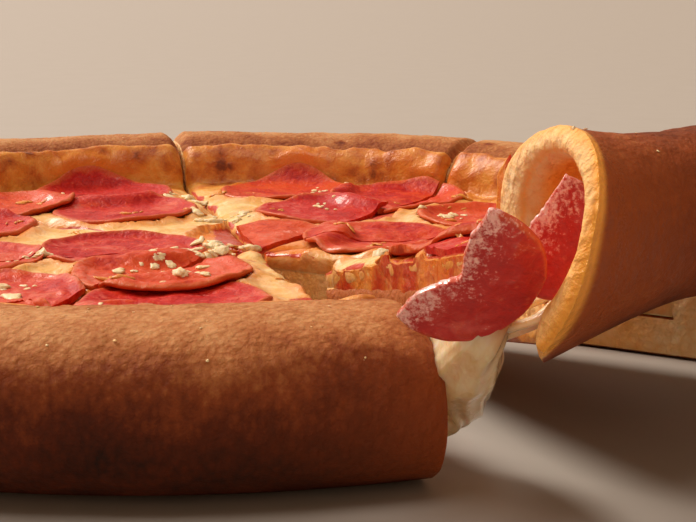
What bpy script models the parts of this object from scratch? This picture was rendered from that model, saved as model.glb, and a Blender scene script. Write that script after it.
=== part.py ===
"""A stuffed crust pizza with pepperoni, cut in eight, as one slice is pulled away from the rest.

The pizza is 12 inches across. Its rim is a thick roll of dough round a core of melted cheese, and the
middle is a flat base under a layer of cheese with slices of pepperoni on it. Four straight cuts make eight
slices. Seven keep the whole's shape. The eighth is moved outwards with its rim raised, so the roll's
cheese stretches over the gap and two slices of pepperoni from inside the roll hang out of its cut end.

Azimuths are in degrees round the pizza: 0 is the front (-Y), and they grow towards +X.
"""

import math

import bmesh
import bpy
import numpy
from mathutils import Matrix, Vector
from mathutils.bvhtree import BVHTree
from mathutils.noise import noise

MM = 0.001

# The whole pizza.
PIZZA_RADIUS = 152 * MM
BASE_THICKNESS = 9 * MM
SKIN_GAP = 0.35 * MM  # clearance between solids that touch
FILLING_GAP = 0.7 * MM  # and round the cheese in the roll, which has fewer sections than its bore

# The rim: a roll of dough, a little squarer than an ellipse, round a core of cheese.
ROLL_WIDTH = 37 * MM
ROLL_HEIGHT = 28.5 * MM
ROLL_SQUARENESS = 2.35
ROLL_POINTS = 11
ROLL_END_ANGLE = -58  # degrees below level, where the roll meets its flat underside
UNDERSIDE_INSET = 12 * MM
BORE_WIDTH = 17.5 * MM
BORE_HEIGHT = 17 * MM
BORE_RAISE = 13.8 * MM
BORE_POINTS = 10
UNEVENNESS = 0.03  # how much the roll swells and shrinks on its way round
SWELLS = 2.2  # about how many times it does so
SWELL_LAYER = Vector((0, 0, 4.1))  # which of many such patterns it has

# Four straight cuts cross a little to the right of the middle.
CUT_MEETING = Vector((11.5 * MM, 0, 0))
CUT_AZIMUTHS = (9.8, 54, 101, 145, 189.8, 234, 281, 325)
CUT_HALF_WIDTH = 0.8 * MM
CUT_ROUNDING = 4 * MM  # how far from a cut the roll starts to bend down
CUT_PINCH = 0.09  # how much lower the roll is at the cut itself
SLICES = range(1, len(CUT_AZIMUTHS) + 1)
LIFTED = 1  # the slice between the first two cuts
SECTION_STEPS = 5  # between the sections where a slice's two cuts start to round off
MOUTH_CROWDING = 1.6  # above 1, the lifted slice's sections are closer together beside its mouth
CUTTER_OVERRUN = 2  # degrees that a bore runs on beyond its slice

# The layer of cheese on the base. It runs up the roll's inner slope and thins out towards the crest.
CHEESE_THICKNESS = 5.2 * MM
CHEESE_RELIEF = 1.0 * MM
CHEESE_LUMP = 16 * MM  # about how far apart its high spots are
CHEESE_RINGS = 3  # rings of points between a slice's tip and the foot of the roll
SLOPE_END = 0.55  # where its edge is, from the roll's third point (0) to its fourth (1)
SLOPE_EDGE_THICKNESS = 1 * MM
SLOPE_UPPER_THICKNESS = 2 * MM
SLOPE_LOWER_THICKNESS = 3.2 * MM
SLOPE_FOOT = 3 * MM  # how far in from the roll's foot the layer levels out
SLOPE_NORMAL = Vector((1, 0.45)).normalized()  # inwards and up, square to the roll's slope
EDGE_NORMAL = Vector((0.55, 1)).normalized()  # and where it rounds over at the edge

# The pepperoni on top, each as the distance right of and behind the pizza's middle in mm.
PEPPERONI_PLACES = (
    (-32, 88), (24, 90), (-24, 56), (-60, 68), (56, 73), (33, 50), (77, 33), (-21, -5), (15, 12), (44, 5),
    (-8, -66), (-11, -36), (-47, -55), (32, -87), (41, -52), (-66, 32), (-92, 4), (-60, -14),
    (-85, -36), (-50, -82), (-15, -91), (74, -50), (92, -14),
)
PEPPERONI_RADIUS = 20.5 * MM
PEPPERONI_THICKNESS = 1.7 * MM
PEPPERONI_CUP = 0.9 * MM  # how far the rim stands up
PEPPERONI_SIDES = 12
PEPPERONI_RINGS = (0.55, 1)  # its rings of points, as shares of the radius
PEPPERONI_WOBBLE = 0.05  # how far out of round it is
PEPPERONI_LOBES = 1.5
PEPPERONI_VARIETY = 90  # how quickly the shape of its edge changes with its place
PEPPERONI_TURN = 40  # degrees from each slice to the next
FACET_SHARES = [(a / 6, b / 6, 1 - (a + b) / 6) for a in range(7) for b in range(7 - a)]  # where it is tried
SHEET_STIFFNESS = 14  # how strongly a slice resists bending against the heights it is tried at
LEAST_SHARE = 0.22  # a cut piece smaller than this share of a slice of pepperoni is left off

# The slice that is pulled away.
PULL_OUT = 30 * MM
PULL_TILT = 14.6  # degrees about its tip
PULL_TURN = 3.3  # degrees round its tip, away from the front slice
MOUTH_FLARE = 0.21  # its cut end has opened by this share
MOUTH_REACH = 19 * MM  # the flare dies away over this length of roll
MOUTH_DROOP = 5.3 * MM
MOUTH_LEAN = 0.4  # how far its outer foot has been drawn towards the front slice, for its height
LEAN_INSETS = (6 * MM, 28 * MM)  # how far inside the rim that starts to fade, and where it has gone
BORE_FLARE = 0.5  # how much more than the roll its bore has widened there
BORE_SHIFT = 3 * MM  # and how far that has moved it outwards
MOUTH_RISE = 1.5 * MM  # how much higher its bore has been drawn up there, which makes it twice as much taller
PULLED_THINNING = 0.07  # how much thinner the rest of its roll is
FILLING_SETBACK = 14 * MM  # how far inside the mouth its filling starts

# The cheese stretched out of the front slice's roll into the mouth: its middle and its radius there, in mm.
STRAND_FROM = 8  # the slice whose roll it comes out of
STRAND_STATIONS = (
    (39.8, -132.2, 13.2, 5.2), (39.7, -139.8, 21.6, 3.7), (40.2, -146, 28.4, 2.9), (42.8, -148, 34.5, 1.6),
    (49, -145.5, 35.2, 0.7),
)

# The two slices of pepperoni that hang out of the mouth, each cut straight along one side, curled and turned.
# Each has its radius, its middle in mm, its turn (degrees, XYZ), how far from its middle the cut runs, the
# curl's radius (the sign is the side it curls to) and the turn of the curl's axis in the slice.
CURLED_THICKNESS = 1.6 * MM
DRAPED_SLICE = (13, (35.9, -156.3, 38.4), (-57.7, 31.4, 3.6), 3.2, -28, 74)
MOUTH_SLICE = (9.6, (50.8, -151.9, 42.8), (90, 34.6, -26.7), 4, 40, 90)


def outward(azimuth):
    """The level unit vector at an azimuth."""
    turn = math.radians(azimuth)
    return Vector((math.sin(turn), -math.cos(turn), 0))


def slice_edges(number):
    """The azimuths of a slice's two cuts, the second above the first."""
    first = CUT_AZIMUTHS[number - 1]
    second = CUT_AZIMUTHS[number % len(CUT_AZIMUTHS)]
    return first, second + (360 if second < first else 0)


def slice_tip(number):
    """Where a slice's cut faces meet, half a cut's width inside both cuts."""
    first, second = slice_edges(number)
    half = math.radians(second - first) / 2
    return CUT_MEETING + outward((first + second) / 2) * CUT_HALF_WIDTH / math.sin(half)


def reach(tip, azimuth):
    """The distance from a slice's tip to the rim."""
    along = tip.dot(outward(azimuth))
    return math.sqrt(along ** 2 + PIZZA_RADIUS ** 2 - tip.length_squared) - along


def section_azimuths(number):
    """The azimuths of a slice's sections, closer together beside its cuts and along the mouth."""
    first, second = slice_edges(number)
    near = math.degrees(CUT_ROUNDING / PIZZA_RADIUS)
    crowding = MOUTH_CROWDING if number == LIFTED else 1
    shares = [(step / SECTION_STEPS) ** crowding for step in range(SECTION_STEPS + 1)]
    middle = [first + near + (second - first - 2 * near) * share for share in shares]
    return [first, first + near / 4, *middle, second - near / 4, second]


def roll_shape(number, azimuth):
    """The roll's size factors (width, height), its droop, and how far it is pulled open (0 to 1)."""
    first, second = slice_edges(number)
    from_first = math.radians(azimuth - first) * PIZZA_RADIUS
    from_second = math.radians(second - azimuth) * PIZZA_RADIUS
    size = 1 + UNEVENNESS * noise(outward(azimuth) * SWELLS + SWELL_LAYER)
    opened = 0
    nearest = min(from_first, from_second)
    if number == LIFTED:
        opened = max(0, 1 - from_first / MOUTH_REACH) ** 2
        size *= 1 + MOUTH_FLARE * opened - PULLED_THINNING * (1 - opened)
        nearest = from_second
    pinch = CUT_PINCH * max(0, 1 - nearest / CUT_ROUNDING) ** 2
    return size * (1 - pinch / 3), size * (1 - pinch), MOUTH_DROOP * opened, opened


def oval(width, height, angle, squareness):
    """A point on a superellipse, as the distances inwards (from its middle) and up."""
    across = math.cos(math.radians(angle))
    up = math.sin(math.radians(angle))
    power = 2 / squareness
    return Vector((
        -width / 2 * math.copysign(abs(across) ** power, across),
        height / 2 * math.copysign(abs(up) ** power, up),
    ))


def roll_outline(number, azimuth):
    """The roll from its inner foot over the crest to its underside, as (inset from the rim, height)."""
    width, height, droop, _ = roll_shape(number, azimuth)
    middle = Vector((ROLL_WIDTH / 2, ROLL_HEIGHT / 2))
    start = 180 + math.degrees(math.asin((1 - 2 * BASE_THICKNESS / ROLL_HEIGHT) ** (ROLL_SQUARENESS / 2)))
    points = []
    for step in range(ROLL_POINTS):
        angle = start + (ROLL_END_ANGLE - start) * step / (ROLL_POINTS - 1)
        offset = oval(ROLL_WIDTH * width, ROLL_HEIGHT, angle, ROLL_SQUARENESS)
        point = middle + offset
        raised = point.y * height - droop if step else BASE_THICKNESS
        points.append(Vector((point.x, raised)))
    return points


def place(number, azimuth, profile):
    """A profile of (inset, height) points, stood up in a slice at an azimuth.

    At the mouth its outer half leans: the lower a point, the nearer it is to the front slice.
    """
    tip = slice_tip(number)
    rim = reach(tip, azimuth)
    pull = MOUTH_LEAN * roll_shape(number, azimuth)[3]
    points = []
    for inset, height in profile:
        held = min(1, max(0, (LEAN_INSETS[1] - inset) / (LEAN_INSETS[1] - LEAN_INSETS[0])))
        aside = outward(azimuth - 90) * pull * held * (ROLL_HEIGHT - height)
        points.append(tip + outward(azimuth) * (rim - inset) + Vector((0, 0, height)) + aside)
    return points


def dough_section(number, azimuth):
    """The dough's outline: the base's top from the tip outwards, the roll, and the flat underside."""
    whole = reach(slice_tip(number), azimuth)
    droop = roll_shape(number, azimuth)[2]
    roll = roll_outline(number, azimuth)
    top = [(whole, BASE_THICKNESS)]
    bottom = [(UNDERSIDE_INSET, -droop), (whole, 0)]
    return place(number, azimuth, [*top, *roll, *bottom])


def cheese_section(number, azimuth):
    """The cheese's outline: its underside on the dough, out to the roll's inner slope, and its top back."""
    tip = slice_tip(number)
    whole = reach(tip, azimuth)
    foot, lower, upper, crest = roll_outline(number, azimuth)[:4]
    edge = upper.lerp(crest, SLOPE_END)
    under = [
        Vector((whole, BASE_THICKNESS + SKIN_GAP)),
        foot + Vector((SKIN_GAP, SKIN_GAP)),
        lower + SLOPE_NORMAL * SKIN_GAP,
        upper + SLOPE_NORMAL * SKIN_GAP,
        edge + EDGE_NORMAL * SKIN_GAP,
    ]
    over = [
        edge + EDGE_NORMAL * (SKIN_GAP + SLOPE_EDGE_THICKNESS),
        upper + SLOPE_NORMAL * SLOPE_UPPER_THICKNESS,
        lower + SLOPE_NORMAL * SLOPE_LOWER_THICKNESS,
    ]
    span = foot.x + SLOPE_FOOT
    for ring in range(CHEESE_RINGS + 1):
        inset = span + (whole - span) * ring / CHEESE_RINGS
        spot = tip + outward(azimuth) * (whole - inset)
        relief = CHEESE_RELIEF * noise(spot / CHEESE_LUMP)
        over.append(Vector((inset, BASE_THICKNESS + CHEESE_THICKNESS + relief)))
    return place(number, azimuth, [*under, *over])


def bore_section(number, azimuth, gap):
    """The outline of the roll's bore at an azimuth, or of the filling, which is smaller by a gap."""
    width, height, droop, opened = roll_shape(number, azimuth)
    inset = ROLL_WIDTH / 2 - BORE_SHIFT * opened
    middle = Vector((inset, (BORE_RAISE + MOUTH_RISE * opened) * height - droop))
    wide = BORE_WIDTH * width * (1 + BORE_FLARE * opened)
    tall = BORE_HEIGHT * height + 2 * MOUTH_RISE * opened
    points = []
    for step in range(BORE_POINTS):
        angle = 360 * (step + 0.5) / BORE_POINTS
        points.append(middle + oval(wide - 2 * gap, tall - 2 * gap, angle, 2))
    return place(number, azimuth, points)


def new_object(name, mesh, group, material=None):
    """A flat-shaded object of a bmesh, in a collection."""
    data = bpy.data.meshes.new(name)
    bmesh.ops.recalc_face_normals(mesh, faces=mesh.faces)
    mesh.to_mesh(data)
    mesh.free()
    item = bpy.data.objects.new(name, data)
    group.objects.link(item)
    if material:
        data.materials.append(material)
    return item


def loft(rings):
    """A closed body through rings that have the same number of points; points that coincide are merged."""
    mesh = bmesh.new()
    rows = [[mesh.verts.new(point) for point in ring] for ring in rings]
    for near, far in zip(rows, rows[1:]):
        for index in range(len(near)):
            after = (index + 1) % len(near)
            mesh.faces.new((near[index], near[after], far[after], far[index]))
    mesh.faces.new(rows[0])
    mesh.faces.new(rows[-1])
    bmesh.ops.remove_doubles(mesh, verts=mesh.verts, dist=0.01 * MM)
    return mesh


def food_material(name, colour, roughness):
    material = bpy.data.materials.new(name)
    material.use_nodes = True
    surface = material.node_tree.nodes["Principled BSDF"]
    surface.inputs["Base Color"].default_value = (*colour, 1)
    surface.inputs["Roughness"].default_value = roughness
    surface.inputs["Metallic"].default_value = 0
    return material


def make_dough(number, group, cutters, material):
    """A slice of dough with the bore cut through its roll."""
    sections = [dough_section(number, azimuth) for azimuth in section_azimuths(number)]
    dough = new_object(f"slice_{number}_dough", loft(sections), group, material)
    azimuths = section_azimuths(number)
    azimuths[0] -= CUTTER_OVERRUN
    azimuths[-1] += CUTTER_OVERRUN
    bore = new_object(f"bore_cutter_{number}", loft([bore_section(number, a, 0) for a in azimuths]), cutters)
    bore.hide_render = True
    bore.display_type = "WIRE"
    cut = dough.modifiers.new("bore", "BOOLEAN")
    cut.operation = "DIFFERENCE"
    cut.solver = "EXACT"
    cut.object = bore
    return dough


def make_cheese(number, group, material):
    """The layer of cheese on a slice."""
    sections = [cheese_section(number, azimuth) for azimuth in section_azimuths(number)]
    return new_object(f"slice_{number}_cheese", loft(sections), group, material)


def make_filling(number, group, material):
    """The cheese inside a slice's roll, which in the pulled slice starts some way inside its mouth."""
    first, _, *middle, _, second = section_azimuths(number)
    start = first + math.degrees(FILLING_SETBACK / PIZZA_RADIUS) if number == LIFTED else first
    kept = [azimuth for azimuth in (first, *middle, second) if azimuth >= start]
    sections = [bore_section(number, azimuth, FILLING_GAP) for azimuth in kept]
    return new_object(f"slice_{number}_filling", loft(sections), group, material)


def make_strand(group, material):
    """The stretched cheese, from the face of the front slice's filling to just inside the mouth."""
    azimuth = slice_edges(STRAND_FROM)[1]
    across_cut = outward(azimuth + 90)
    start = [point + across_cut * SKIN_GAP for point in bore_section(STRAND_FROM, azimuth, FILLING_GAP)]
    middles = [sum(start, Vector()) / len(start)]
    middles += [Vector(station[:3]) * MM for station in STRAND_STATIONS]
    rings = [start]
    for index, station in enumerate(STRAND_STATIONS, 1):
        ahead = middles[min(index + 1, len(middles) - 1)]
        along = (ahead - middles[index - 1]).normalized()
        up = (Vector((0, 0, 1)) - along * along.z).normalized()
        out = along.cross(up)
        radius = station[3] * MM
        ring = []
        for step in range(BORE_POINTS):
            turn = 2 * math.pi * (step + 0.5) / BORE_POINTS
            ring.append(middles[index] + (out * math.cos(turn) + up * math.sin(turn)) * radius)
        rings.append(ring)
    return new_object("stretched_cheese", loft(rings), group, material)


def make_curled_pepperoni(name, slice_of, group, material):
    """A slice of pepperoni from inside the roll: a disc with one side cut off, curled round an axis in it."""
    radius, middle, turns, cut, curl, axis_azimuth = slice_of
    mesh = bmesh.new()
    rows = []
    for share in (0, 0.5, 1):
        sides = PEPPERONI_SIDES if share else 1
        spots = [outward(360 * side / PEPPERONI_SIDES) * radius * share * MM for side in range(sides)]
        rows.append([mesh.verts.new(spot) for spot in spots])
    for side in range(PEPPERONI_SIDES):
        after = (side + 1) % PEPPERONI_SIDES
        mesh.faces.new((rows[0][0], rows[1][side], rows[1][after]))
        mesh.faces.new((rows[1][side], rows[2][side], rows[2][after], rows[1][after]))
    everything = [*mesh.verts, *mesh.edges, *mesh.faces]
    left = Vector((-1, 0, 0))
    bmesh.ops.bisect_plane(mesh, geom=everything, plane_co=left * cut * MM, plane_no=left, clear_outer=True)
    axis = Vector((math.cos(math.radians(axis_azimuth)), math.sin(math.radians(axis_azimuth)), 0))
    across = Vector((-axis.y, axis.x, 0))
    bend = 1 / (curl * MM)
    for vertex in mesh.verts:
        along, over = vertex.co.dot(axis), vertex.co.dot(across)
        curled = across * math.sin(bend * over) / bend
        vertex.co = axis * along + curled - Vector((0, 0, (1 - math.cos(bend * over)) / bend))
    item = new_object(name, mesh, group, material)
    item.location = Vector(middle) * MM
    item.rotation_euler = [math.radians(turn) for turn in turns]
    thicken = item.modifiers.new("thickness", "SOLIDIFY")
    thicken.thickness = CURLED_THICKNESS
    thicken.offset = 0
    return item


class Ground:
    """What lies under the next slice of pepperoni: its height at a spot, looked up from above."""

    def __init__(self):
        self.layers = []

    def add(self, mesh):
        self.layers.append(BVHTree.FromBMesh(mesh))

    def height(self, spot):
        hits = [layer.ray_cast(Vector((spot.x, spot.y, 1)), Vector((0, 0, -1)))[0] for layer in self.layers]
        return max((hit.z for hit in hits if hit), default=0)

    def settle(self, spots, facets):
        """Heights for a soft sheet's points: a gentle curve fitted to what lies below, raised to clear it."""
        centre = spots[0]

        def curve_terms(spot):
            x, y = (spot - centre).xy / PEPPERONI_RADIUS
            return 1, x, y, x * x, x * y, y * y

        samples = []
        for facet in facets:
            for share in FACET_SHARES:
                spot = sum((spots[corner] * part for corner, part in zip(facet, share)), Vector())
                samples.append((facet, share, spot, self.height(spot)))
        stiffness = numpy.diag((0, 0, 0, 1, 1, 1)) * SHEET_STIFFNESS
        terms = numpy.vstack([[curve_terms(spot) for _, _, spot, _ in samples], stiffness])
        fitted = numpy.linalg.lstsq(terms, [height for *_, height in samples] + [0] * 6, rcond=None)[0]
        heights = [float(numpy.dot(curve_terms(spot), fitted)) for spot in spots]
        shortfall = 0
        for facet, share, _, height in samples:
            sheet = sum(heights[corner] * part for corner, part in zip(facet, share))
            shortfall = max(shortfall, height - sheet)
        return [height + shortfall for height in heights]


def pepperoni_disc(centre, turn, ground):
    """A whole slice of pepperoni that lies on what is under it, closed, with a rim that cups upwards."""
    spots = [centre]
    shares = [0]
    for share in PEPPERONI_RINGS:
        for side in range(PEPPERONI_SIDES):
            towards = outward(360 * side / PEPPERONI_SIDES + turn)
            wobble = 1 + PEPPERONI_WOBBLE * noise(towards * PEPPERONI_LOBES + centre * PEPPERONI_VARIETY)
            spots.append(centre + towards * PEPPERONI_RADIUS * share * wobble)
            shares.append(share)
    facets = []
    for side in range(PEPPERONI_SIDES):
        inner, outer = 1 + side, 1 + side + PEPPERONI_SIDES
        after = 1 + (side + 1) % PEPPERONI_SIDES
        facets += [(0, inner, after), (inner, outer, after), (outer, after + PEPPERONI_SIDES, after)]
    heights = ground.settle(spots, facets)
    mesh = bmesh.new()
    low = []
    high = []
    for spot, share, height in zip(spots, shares, heights):
        base = height + 2 * SKIN_GAP + PEPPERONI_CUP * share ** 3
        low.append(mesh.verts.new((spot.x, spot.y, base)))
        high.append(mesh.verts.new((spot.x, spot.y, base + PEPPERONI_THICKNESS)))
    for one, two, three in facets:
        mesh.faces.new((high[one], high[two], high[three]))
        mesh.faces.new((low[three], low[two], low[one]))
    for side in range(PEPPERONI_SIDES):
        one = 1 + side + PEPPERONI_SIDES
        two = 1 + (side + 1) % PEPPERONI_SIDES + PEPPERONI_SIDES
        mesh.faces.new((low[one], low[two], high[two], high[one]))
    bmesh.ops.recalc_face_normals(mesh, faces=mesh.faces)
    return mesh


def keep_in_slice(mesh, number):
    """Cut a mesh along both cuts of a slice and close it there. Says whether enough of it is left."""
    whole = mesh.calc_volume()
    tip = slice_tip(number)
    for azimuth, side in zip(slice_edges(number), (-1, 1)):
        away = outward(azimuth + 90) * side
        everything = [*mesh.verts, *mesh.edges, *mesh.faces]
        done = bmesh.ops.bisect_plane(mesh, geom=everything, plane_co=tip, plane_no=away, clear_outer=True)
        rim = [item for item in done["geom_cut"] if isinstance(item, bmesh.types.BMEdge)]
        if rim:
            bmesh.ops.contextual_create(mesh, geom=rim)
    return bool(mesh.faces) and mesh.calc_volume() > LEAST_SHARE * whole


def make_pepperoni(toppings, group, material):
    """All the pepperoni on top: whole slices laid one after another, then cut with the pizza."""
    ground = Ground()
    for item in toppings:
        mesh = bmesh.new()
        mesh.from_mesh(item.data)
        ground.add(mesh)
        mesh.free()
    pieces = []
    counts = dict.fromkeys(SLICES, 0)
    for index, (right, behind) in enumerate(PEPPERONI_PLACES):
        disc = pepperoni_disc(Vector((right, behind, 0)) * MM, PEPPERONI_TURN * index, ground)
        ground.add(disc)
        for number in SLICES:
            piece = disc.copy()
            if not keep_in_slice(piece, number):
                piece.free()
                continue
            counts[number] += 1
            name = f"slice_{number}_pepperoni_{counts[number]}"
            pieces.append((number, new_object(name, piece, group, material)))
        disc.free()
    return pieces


def lift_matrix():
    """How the pulled slice moves: tilted and turned about its tip, and drawn outwards."""
    first, second = slice_edges(LIFTED)
    middle = outward((first + second) / 2)
    sideways = middle.cross(Vector((0, 0, 1)))
    tilt = Matrix.Rotation(math.radians(PULL_TILT), 4, sideways)
    turn = Matrix.Rotation(math.radians(PULL_TURN), 4, "Z")
    tip = slice_tip(LIFTED)
    return Matrix.Translation(tip + middle * PULL_OUT) @ turn @ tilt @ Matrix.Translation(-tip)


def stand_on_origin(items, root):
    """Move everything so that the origin is under the middle of its box."""
    bpy.context.view_layer.update()
    corners = [item.matrix_world @ Vector(corner) for item in items for corner in item.bound_box]
    for axis in (0, 1):
        values = [corner[axis] for corner in corners]
        root.location[axis] -= (min(values) + max(values)) / 2
    bpy.context.view_layer.update()


def main():
    for item in list(bpy.data.objects):
        bpy.data.objects.remove(item)
    group = bpy.data.collections.new("Stuffed crust pizza")
    cutters = bpy.data.collections.new("Cutters")
    bpy.context.scene.collection.children.link(group)
    bpy.context.scene.collection.children.link(cutters)
    crust = food_material("Baked dough", (0.55, 0.26, 0.09), 0.75)
    topping = food_material("Melted cheese", (0.85, 0.62, 0.25), 0.4)
    filling = food_material("Stretched cheese", (0.88, 0.78, 0.52), 0.35)
    meat = food_material("Pepperoni", (0.5, 0.035, 0.02), 0.3)

    doughs = [make_dough(number, group, cutters, crust) for number in SLICES]
    cheeses = [make_cheese(number, group, topping) for number in SLICES]
    fillings = [make_filling(number, group, filling) for number in SLICES]
    pepperoni = make_pepperoni([*doughs, *cheeses], group, meat)
    between = [
        make_strand(group, filling),
        make_curled_pepperoni("draped_pepperoni", DRAPED_SLICE, group, meat),
        make_curled_pepperoni("mouth_pepperoni", MOUTH_SLICE, group, meat),
    ]

    root = bpy.data.objects.new("Pizza", None)
    pulled = bpy.data.objects.new("Pulled slice", None)
    group.objects.link(root)
    group.objects.link(pulled)
    pulled.parent = root
    pulled.matrix_local = lift_matrix()
    for number, dough, cheese, core in zip(SLICES, doughs, cheeses, fillings):
        for item in (dough, cheese, core):
            item.parent = pulled if number == LIFTED else root
    for number, item in pepperoni:
        item.parent = pulled if number == LIFTED else root
    for item in between:
        item.parent = root
    for cutter in cutters.objects:
        cutter.parent = pulled if cutter.name.endswith(f"_{LIFTED}") else root
    solids = [*doughs, *cheeses, *fillings, *(item for _, item in pepperoni)]
    stand_on_origin(solids, root)


main()
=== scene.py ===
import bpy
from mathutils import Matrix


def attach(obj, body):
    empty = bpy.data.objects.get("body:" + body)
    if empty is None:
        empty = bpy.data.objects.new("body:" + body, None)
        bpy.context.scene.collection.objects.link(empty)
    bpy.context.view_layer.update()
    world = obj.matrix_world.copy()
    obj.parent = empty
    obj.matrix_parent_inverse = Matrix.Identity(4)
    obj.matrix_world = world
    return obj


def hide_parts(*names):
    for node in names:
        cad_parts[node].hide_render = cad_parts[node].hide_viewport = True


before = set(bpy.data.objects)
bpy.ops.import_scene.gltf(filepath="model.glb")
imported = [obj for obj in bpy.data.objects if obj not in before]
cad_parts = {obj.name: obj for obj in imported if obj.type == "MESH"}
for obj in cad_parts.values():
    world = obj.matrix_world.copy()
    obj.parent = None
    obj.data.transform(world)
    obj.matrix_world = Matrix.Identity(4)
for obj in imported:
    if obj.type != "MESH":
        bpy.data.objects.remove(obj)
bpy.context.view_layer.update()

import math

import bmesh
import bpy
import numpy as np
from mathutils import Matrix, Vector
from mathutils.geometry import delaunay_2d_cdt
from mathutils.noise import noise

# ---- The baked dough ----
# Wheat dough rolled out flat, its edge folded over a core of cheese into a thick roll, baked brown and cut in
# eight with a wheel. The wedge at the front right is drawn out with its rim up, so its end of the roll has
# opened. Azimuths are in degrees: 0 is the front (-Y), and they grow towards +X.

MM = 0.001
PIZZA_MIDDLE = Vector((0.1365, 11.7386, 0)) * MM
PIZZA_RADIUS = 152 * MM
BASE_THICKNESS = 9 * MM
ROLL_WIDTH = 37 * MM
ROLL_HEIGHT = 28.5 * MM
ROLL_SQUARENESS = 2.35
ROLL_START = 180 + math.degrees(math.asin((1 - 2 * BASE_THICKNESS / ROLL_HEIGHT) ** (ROLL_SQUARENESS / 2)))
ROLL_END = -58
UNDERSIDE_INSET = 12 * MM
BORE_WIDTH = 17.5 * MM
BORE_HEIGHT = 17 * MM
BORE_RAISE = 13.8 * MM
UNEVENNESS = 0.03
SWELLS = 2.2
SWELL_LAYER = Vector((0, 0, 4.1))
CUT_MEETING = np.array((11.5 * MM, 0, 0))
CUT_AZIMUTHS = (9.8, 54, 101, 145, 189.8, 234, 281, 325)
CUT_HALF_WIDTH = 0.8 * MM
CUT_ROUNDING = 4 * MM
CUT_PINCH = 0.09
WEDGES = range(1, len(CUT_AZIMUTHS) + 1)
LIFTED = 1
FRONT = 8
PULL_OUT = 30 * MM
PULL_TILT = 14.6
PULL_TURN = 3.3
MOUTH_FLARE = 0.21
MOUTH_REACH = 19 * MM
MOUTH_DROOP = 5.3 * MM
MOUTH_LEAN = 0.4
LEAN_INSETS = (6 * MM, 28 * MM)
BORE_FLARE = 0.5
BORE_SHIFT = 3 * MM
MOUTH_RISE = 1.5 * MM
PULLED_THINNING = 0.07
# How far apart a wedge's sections are at its first and second cut; the two wedges at the front show the most.
SECTION_PITCH = {LIFTED: (0.42 * MM, 0.85 * MM), FRONT: (0.75 * MM, 0.4 * MM)}
USUAL_PITCH = (0.95 * MM, 0.95 * MM)
# The angles on the roll's outline beyond which cheese covers it, or it lies on the table.
COVERED_FROM = 140
UNDERNEATH_BELOW = -35
UNDERNEATH_COARSER = 2.5


def outward(azimuth):
    """Level unit vectors at azimuths in degrees."""
    turn = np.radians(azimuth)
    return np.stack([np.sin(turn), -np.cos(turn), np.zeros_like(turn)], axis=-1)


def azimuths(ways):
    """The azimuths of level vectors."""
    return np.degrees(np.arctan2(ways[..., 0], -ways[..., 1]))


def rim_length(degrees):
    """How far apart two spots on the rim are, along it."""
    return np.radians(degrees) * PIZZA_RADIUS


def smooth_step(value, low, high):
    """0 below low, 1 above high, and a smooth rise from one to the other."""
    share = np.clip((value - low) / (high - low), 0, 1)
    return share * share * (3 - 2 * share)


def fading(gap, over):
    """1 where there is no gap, dying away as it widens."""
    return np.exp(-np.clip(gap, 0, None) / over)


def wedge_edges(number):
    """The azimuths of a wedge's two cuts, the second above the first."""
    first = CUT_AZIMUTHS[number - 1]
    second = CUT_AZIMUTHS[number % len(CUT_AZIMUTHS)]
    return first, second + (360 if second < first else 0)


def wedge_tip(number):
    """Where a wedge's two cuts meet."""
    first, second = wedge_edges(number)
    half = math.radians(second - first) / 2
    return CUT_MEETING + outward((first + second) / 2) * CUT_HALF_WIDTH / math.sin(half)


def reach(tip, azimuth):
    """The distances from a wedge's tip to the rim."""
    along = outward(azimuth) @ tip
    return np.sqrt(along**2 + PIZZA_RADIUS**2 - tip @ tip) - along


def wedge_place(number):
    """Where a wedge stands: the lifted one is tilted and turned about its tip, and drawn out."""
    place = Matrix.Translation(PIZZA_MIDDLE)
    if number != LIFTED:
        return place
    first, second = wedge_edges(number)
    middle = Vector(outward((first + second) / 2))
    tip = Vector(wedge_tip(number))
    tilt = Matrix.Rotation(math.radians(PULL_TILT), 4, middle.cross(Vector((0, 0, 1))))
    turn = Matrix.Rotation(math.radians(PULL_TURN), 4, "Z")
    return place @ Matrix.Translation(tip + middle * PULL_OUT) @ turn @ tilt @ Matrix.Translation(-tip)


def moved(points, number):
    """Points of a wedge, put where the wedge stands, still measured from the pizza's middle."""
    place = Matrix.Translation(-PIZZA_MIDDLE) @ wedge_place(number)
    return points @ np.array(place.to_3x3()).T + np.array(place.translation)


def sections(number, coarser=1):
    """A wedge's azimuths, closer together where it shows more."""
    first, second = wedge_edges(number)
    length = rim_length(second - first)
    near, far = (pitch * coarser for pitch in SECTION_PITCH.get(number, USUAL_PITCH))
    growth = far / near * 1.0001
    count = int(length / near)
    if near != far:
        count = int(length * math.log(growth) / (far - near + near * 0.0001))
    share = np.linspace(0, 1, count + 1)
    return first + (second - first) * (growth**share - 1) / (growth - 1)


def roll_size(number, azimuth):
    """The roll's size factors across and up, how far it droops, and how far it is pulled open."""
    first, second = wedge_edges(number)
    from_first, from_second = rim_length(azimuth - first), rim_length(second - azimuth)
    swells = [noise(Vector(spot) * SWELLS + SWELL_LAYER) for spot in outward(azimuth)]
    size = 1 + UNEVENNESS * np.array(swells)
    opened = np.zeros_like(azimuth)
    nearest = np.minimum(from_first, from_second)
    if number == LIFTED:
        opened = np.clip(1 - from_first / MOUTH_REACH, 0, None) ** 2
        size = size * (1 + MOUTH_FLARE * opened - PULLED_THINNING * (1 - opened))
        nearest = from_second
    pinch = CUT_PINCH * np.clip(1 - nearest / CUT_ROUNDING, 0, None) ** 2
    return size * (1 - pinch / 3), size * (1 - pinch), MOUTH_DROOP * opened, opened


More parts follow.
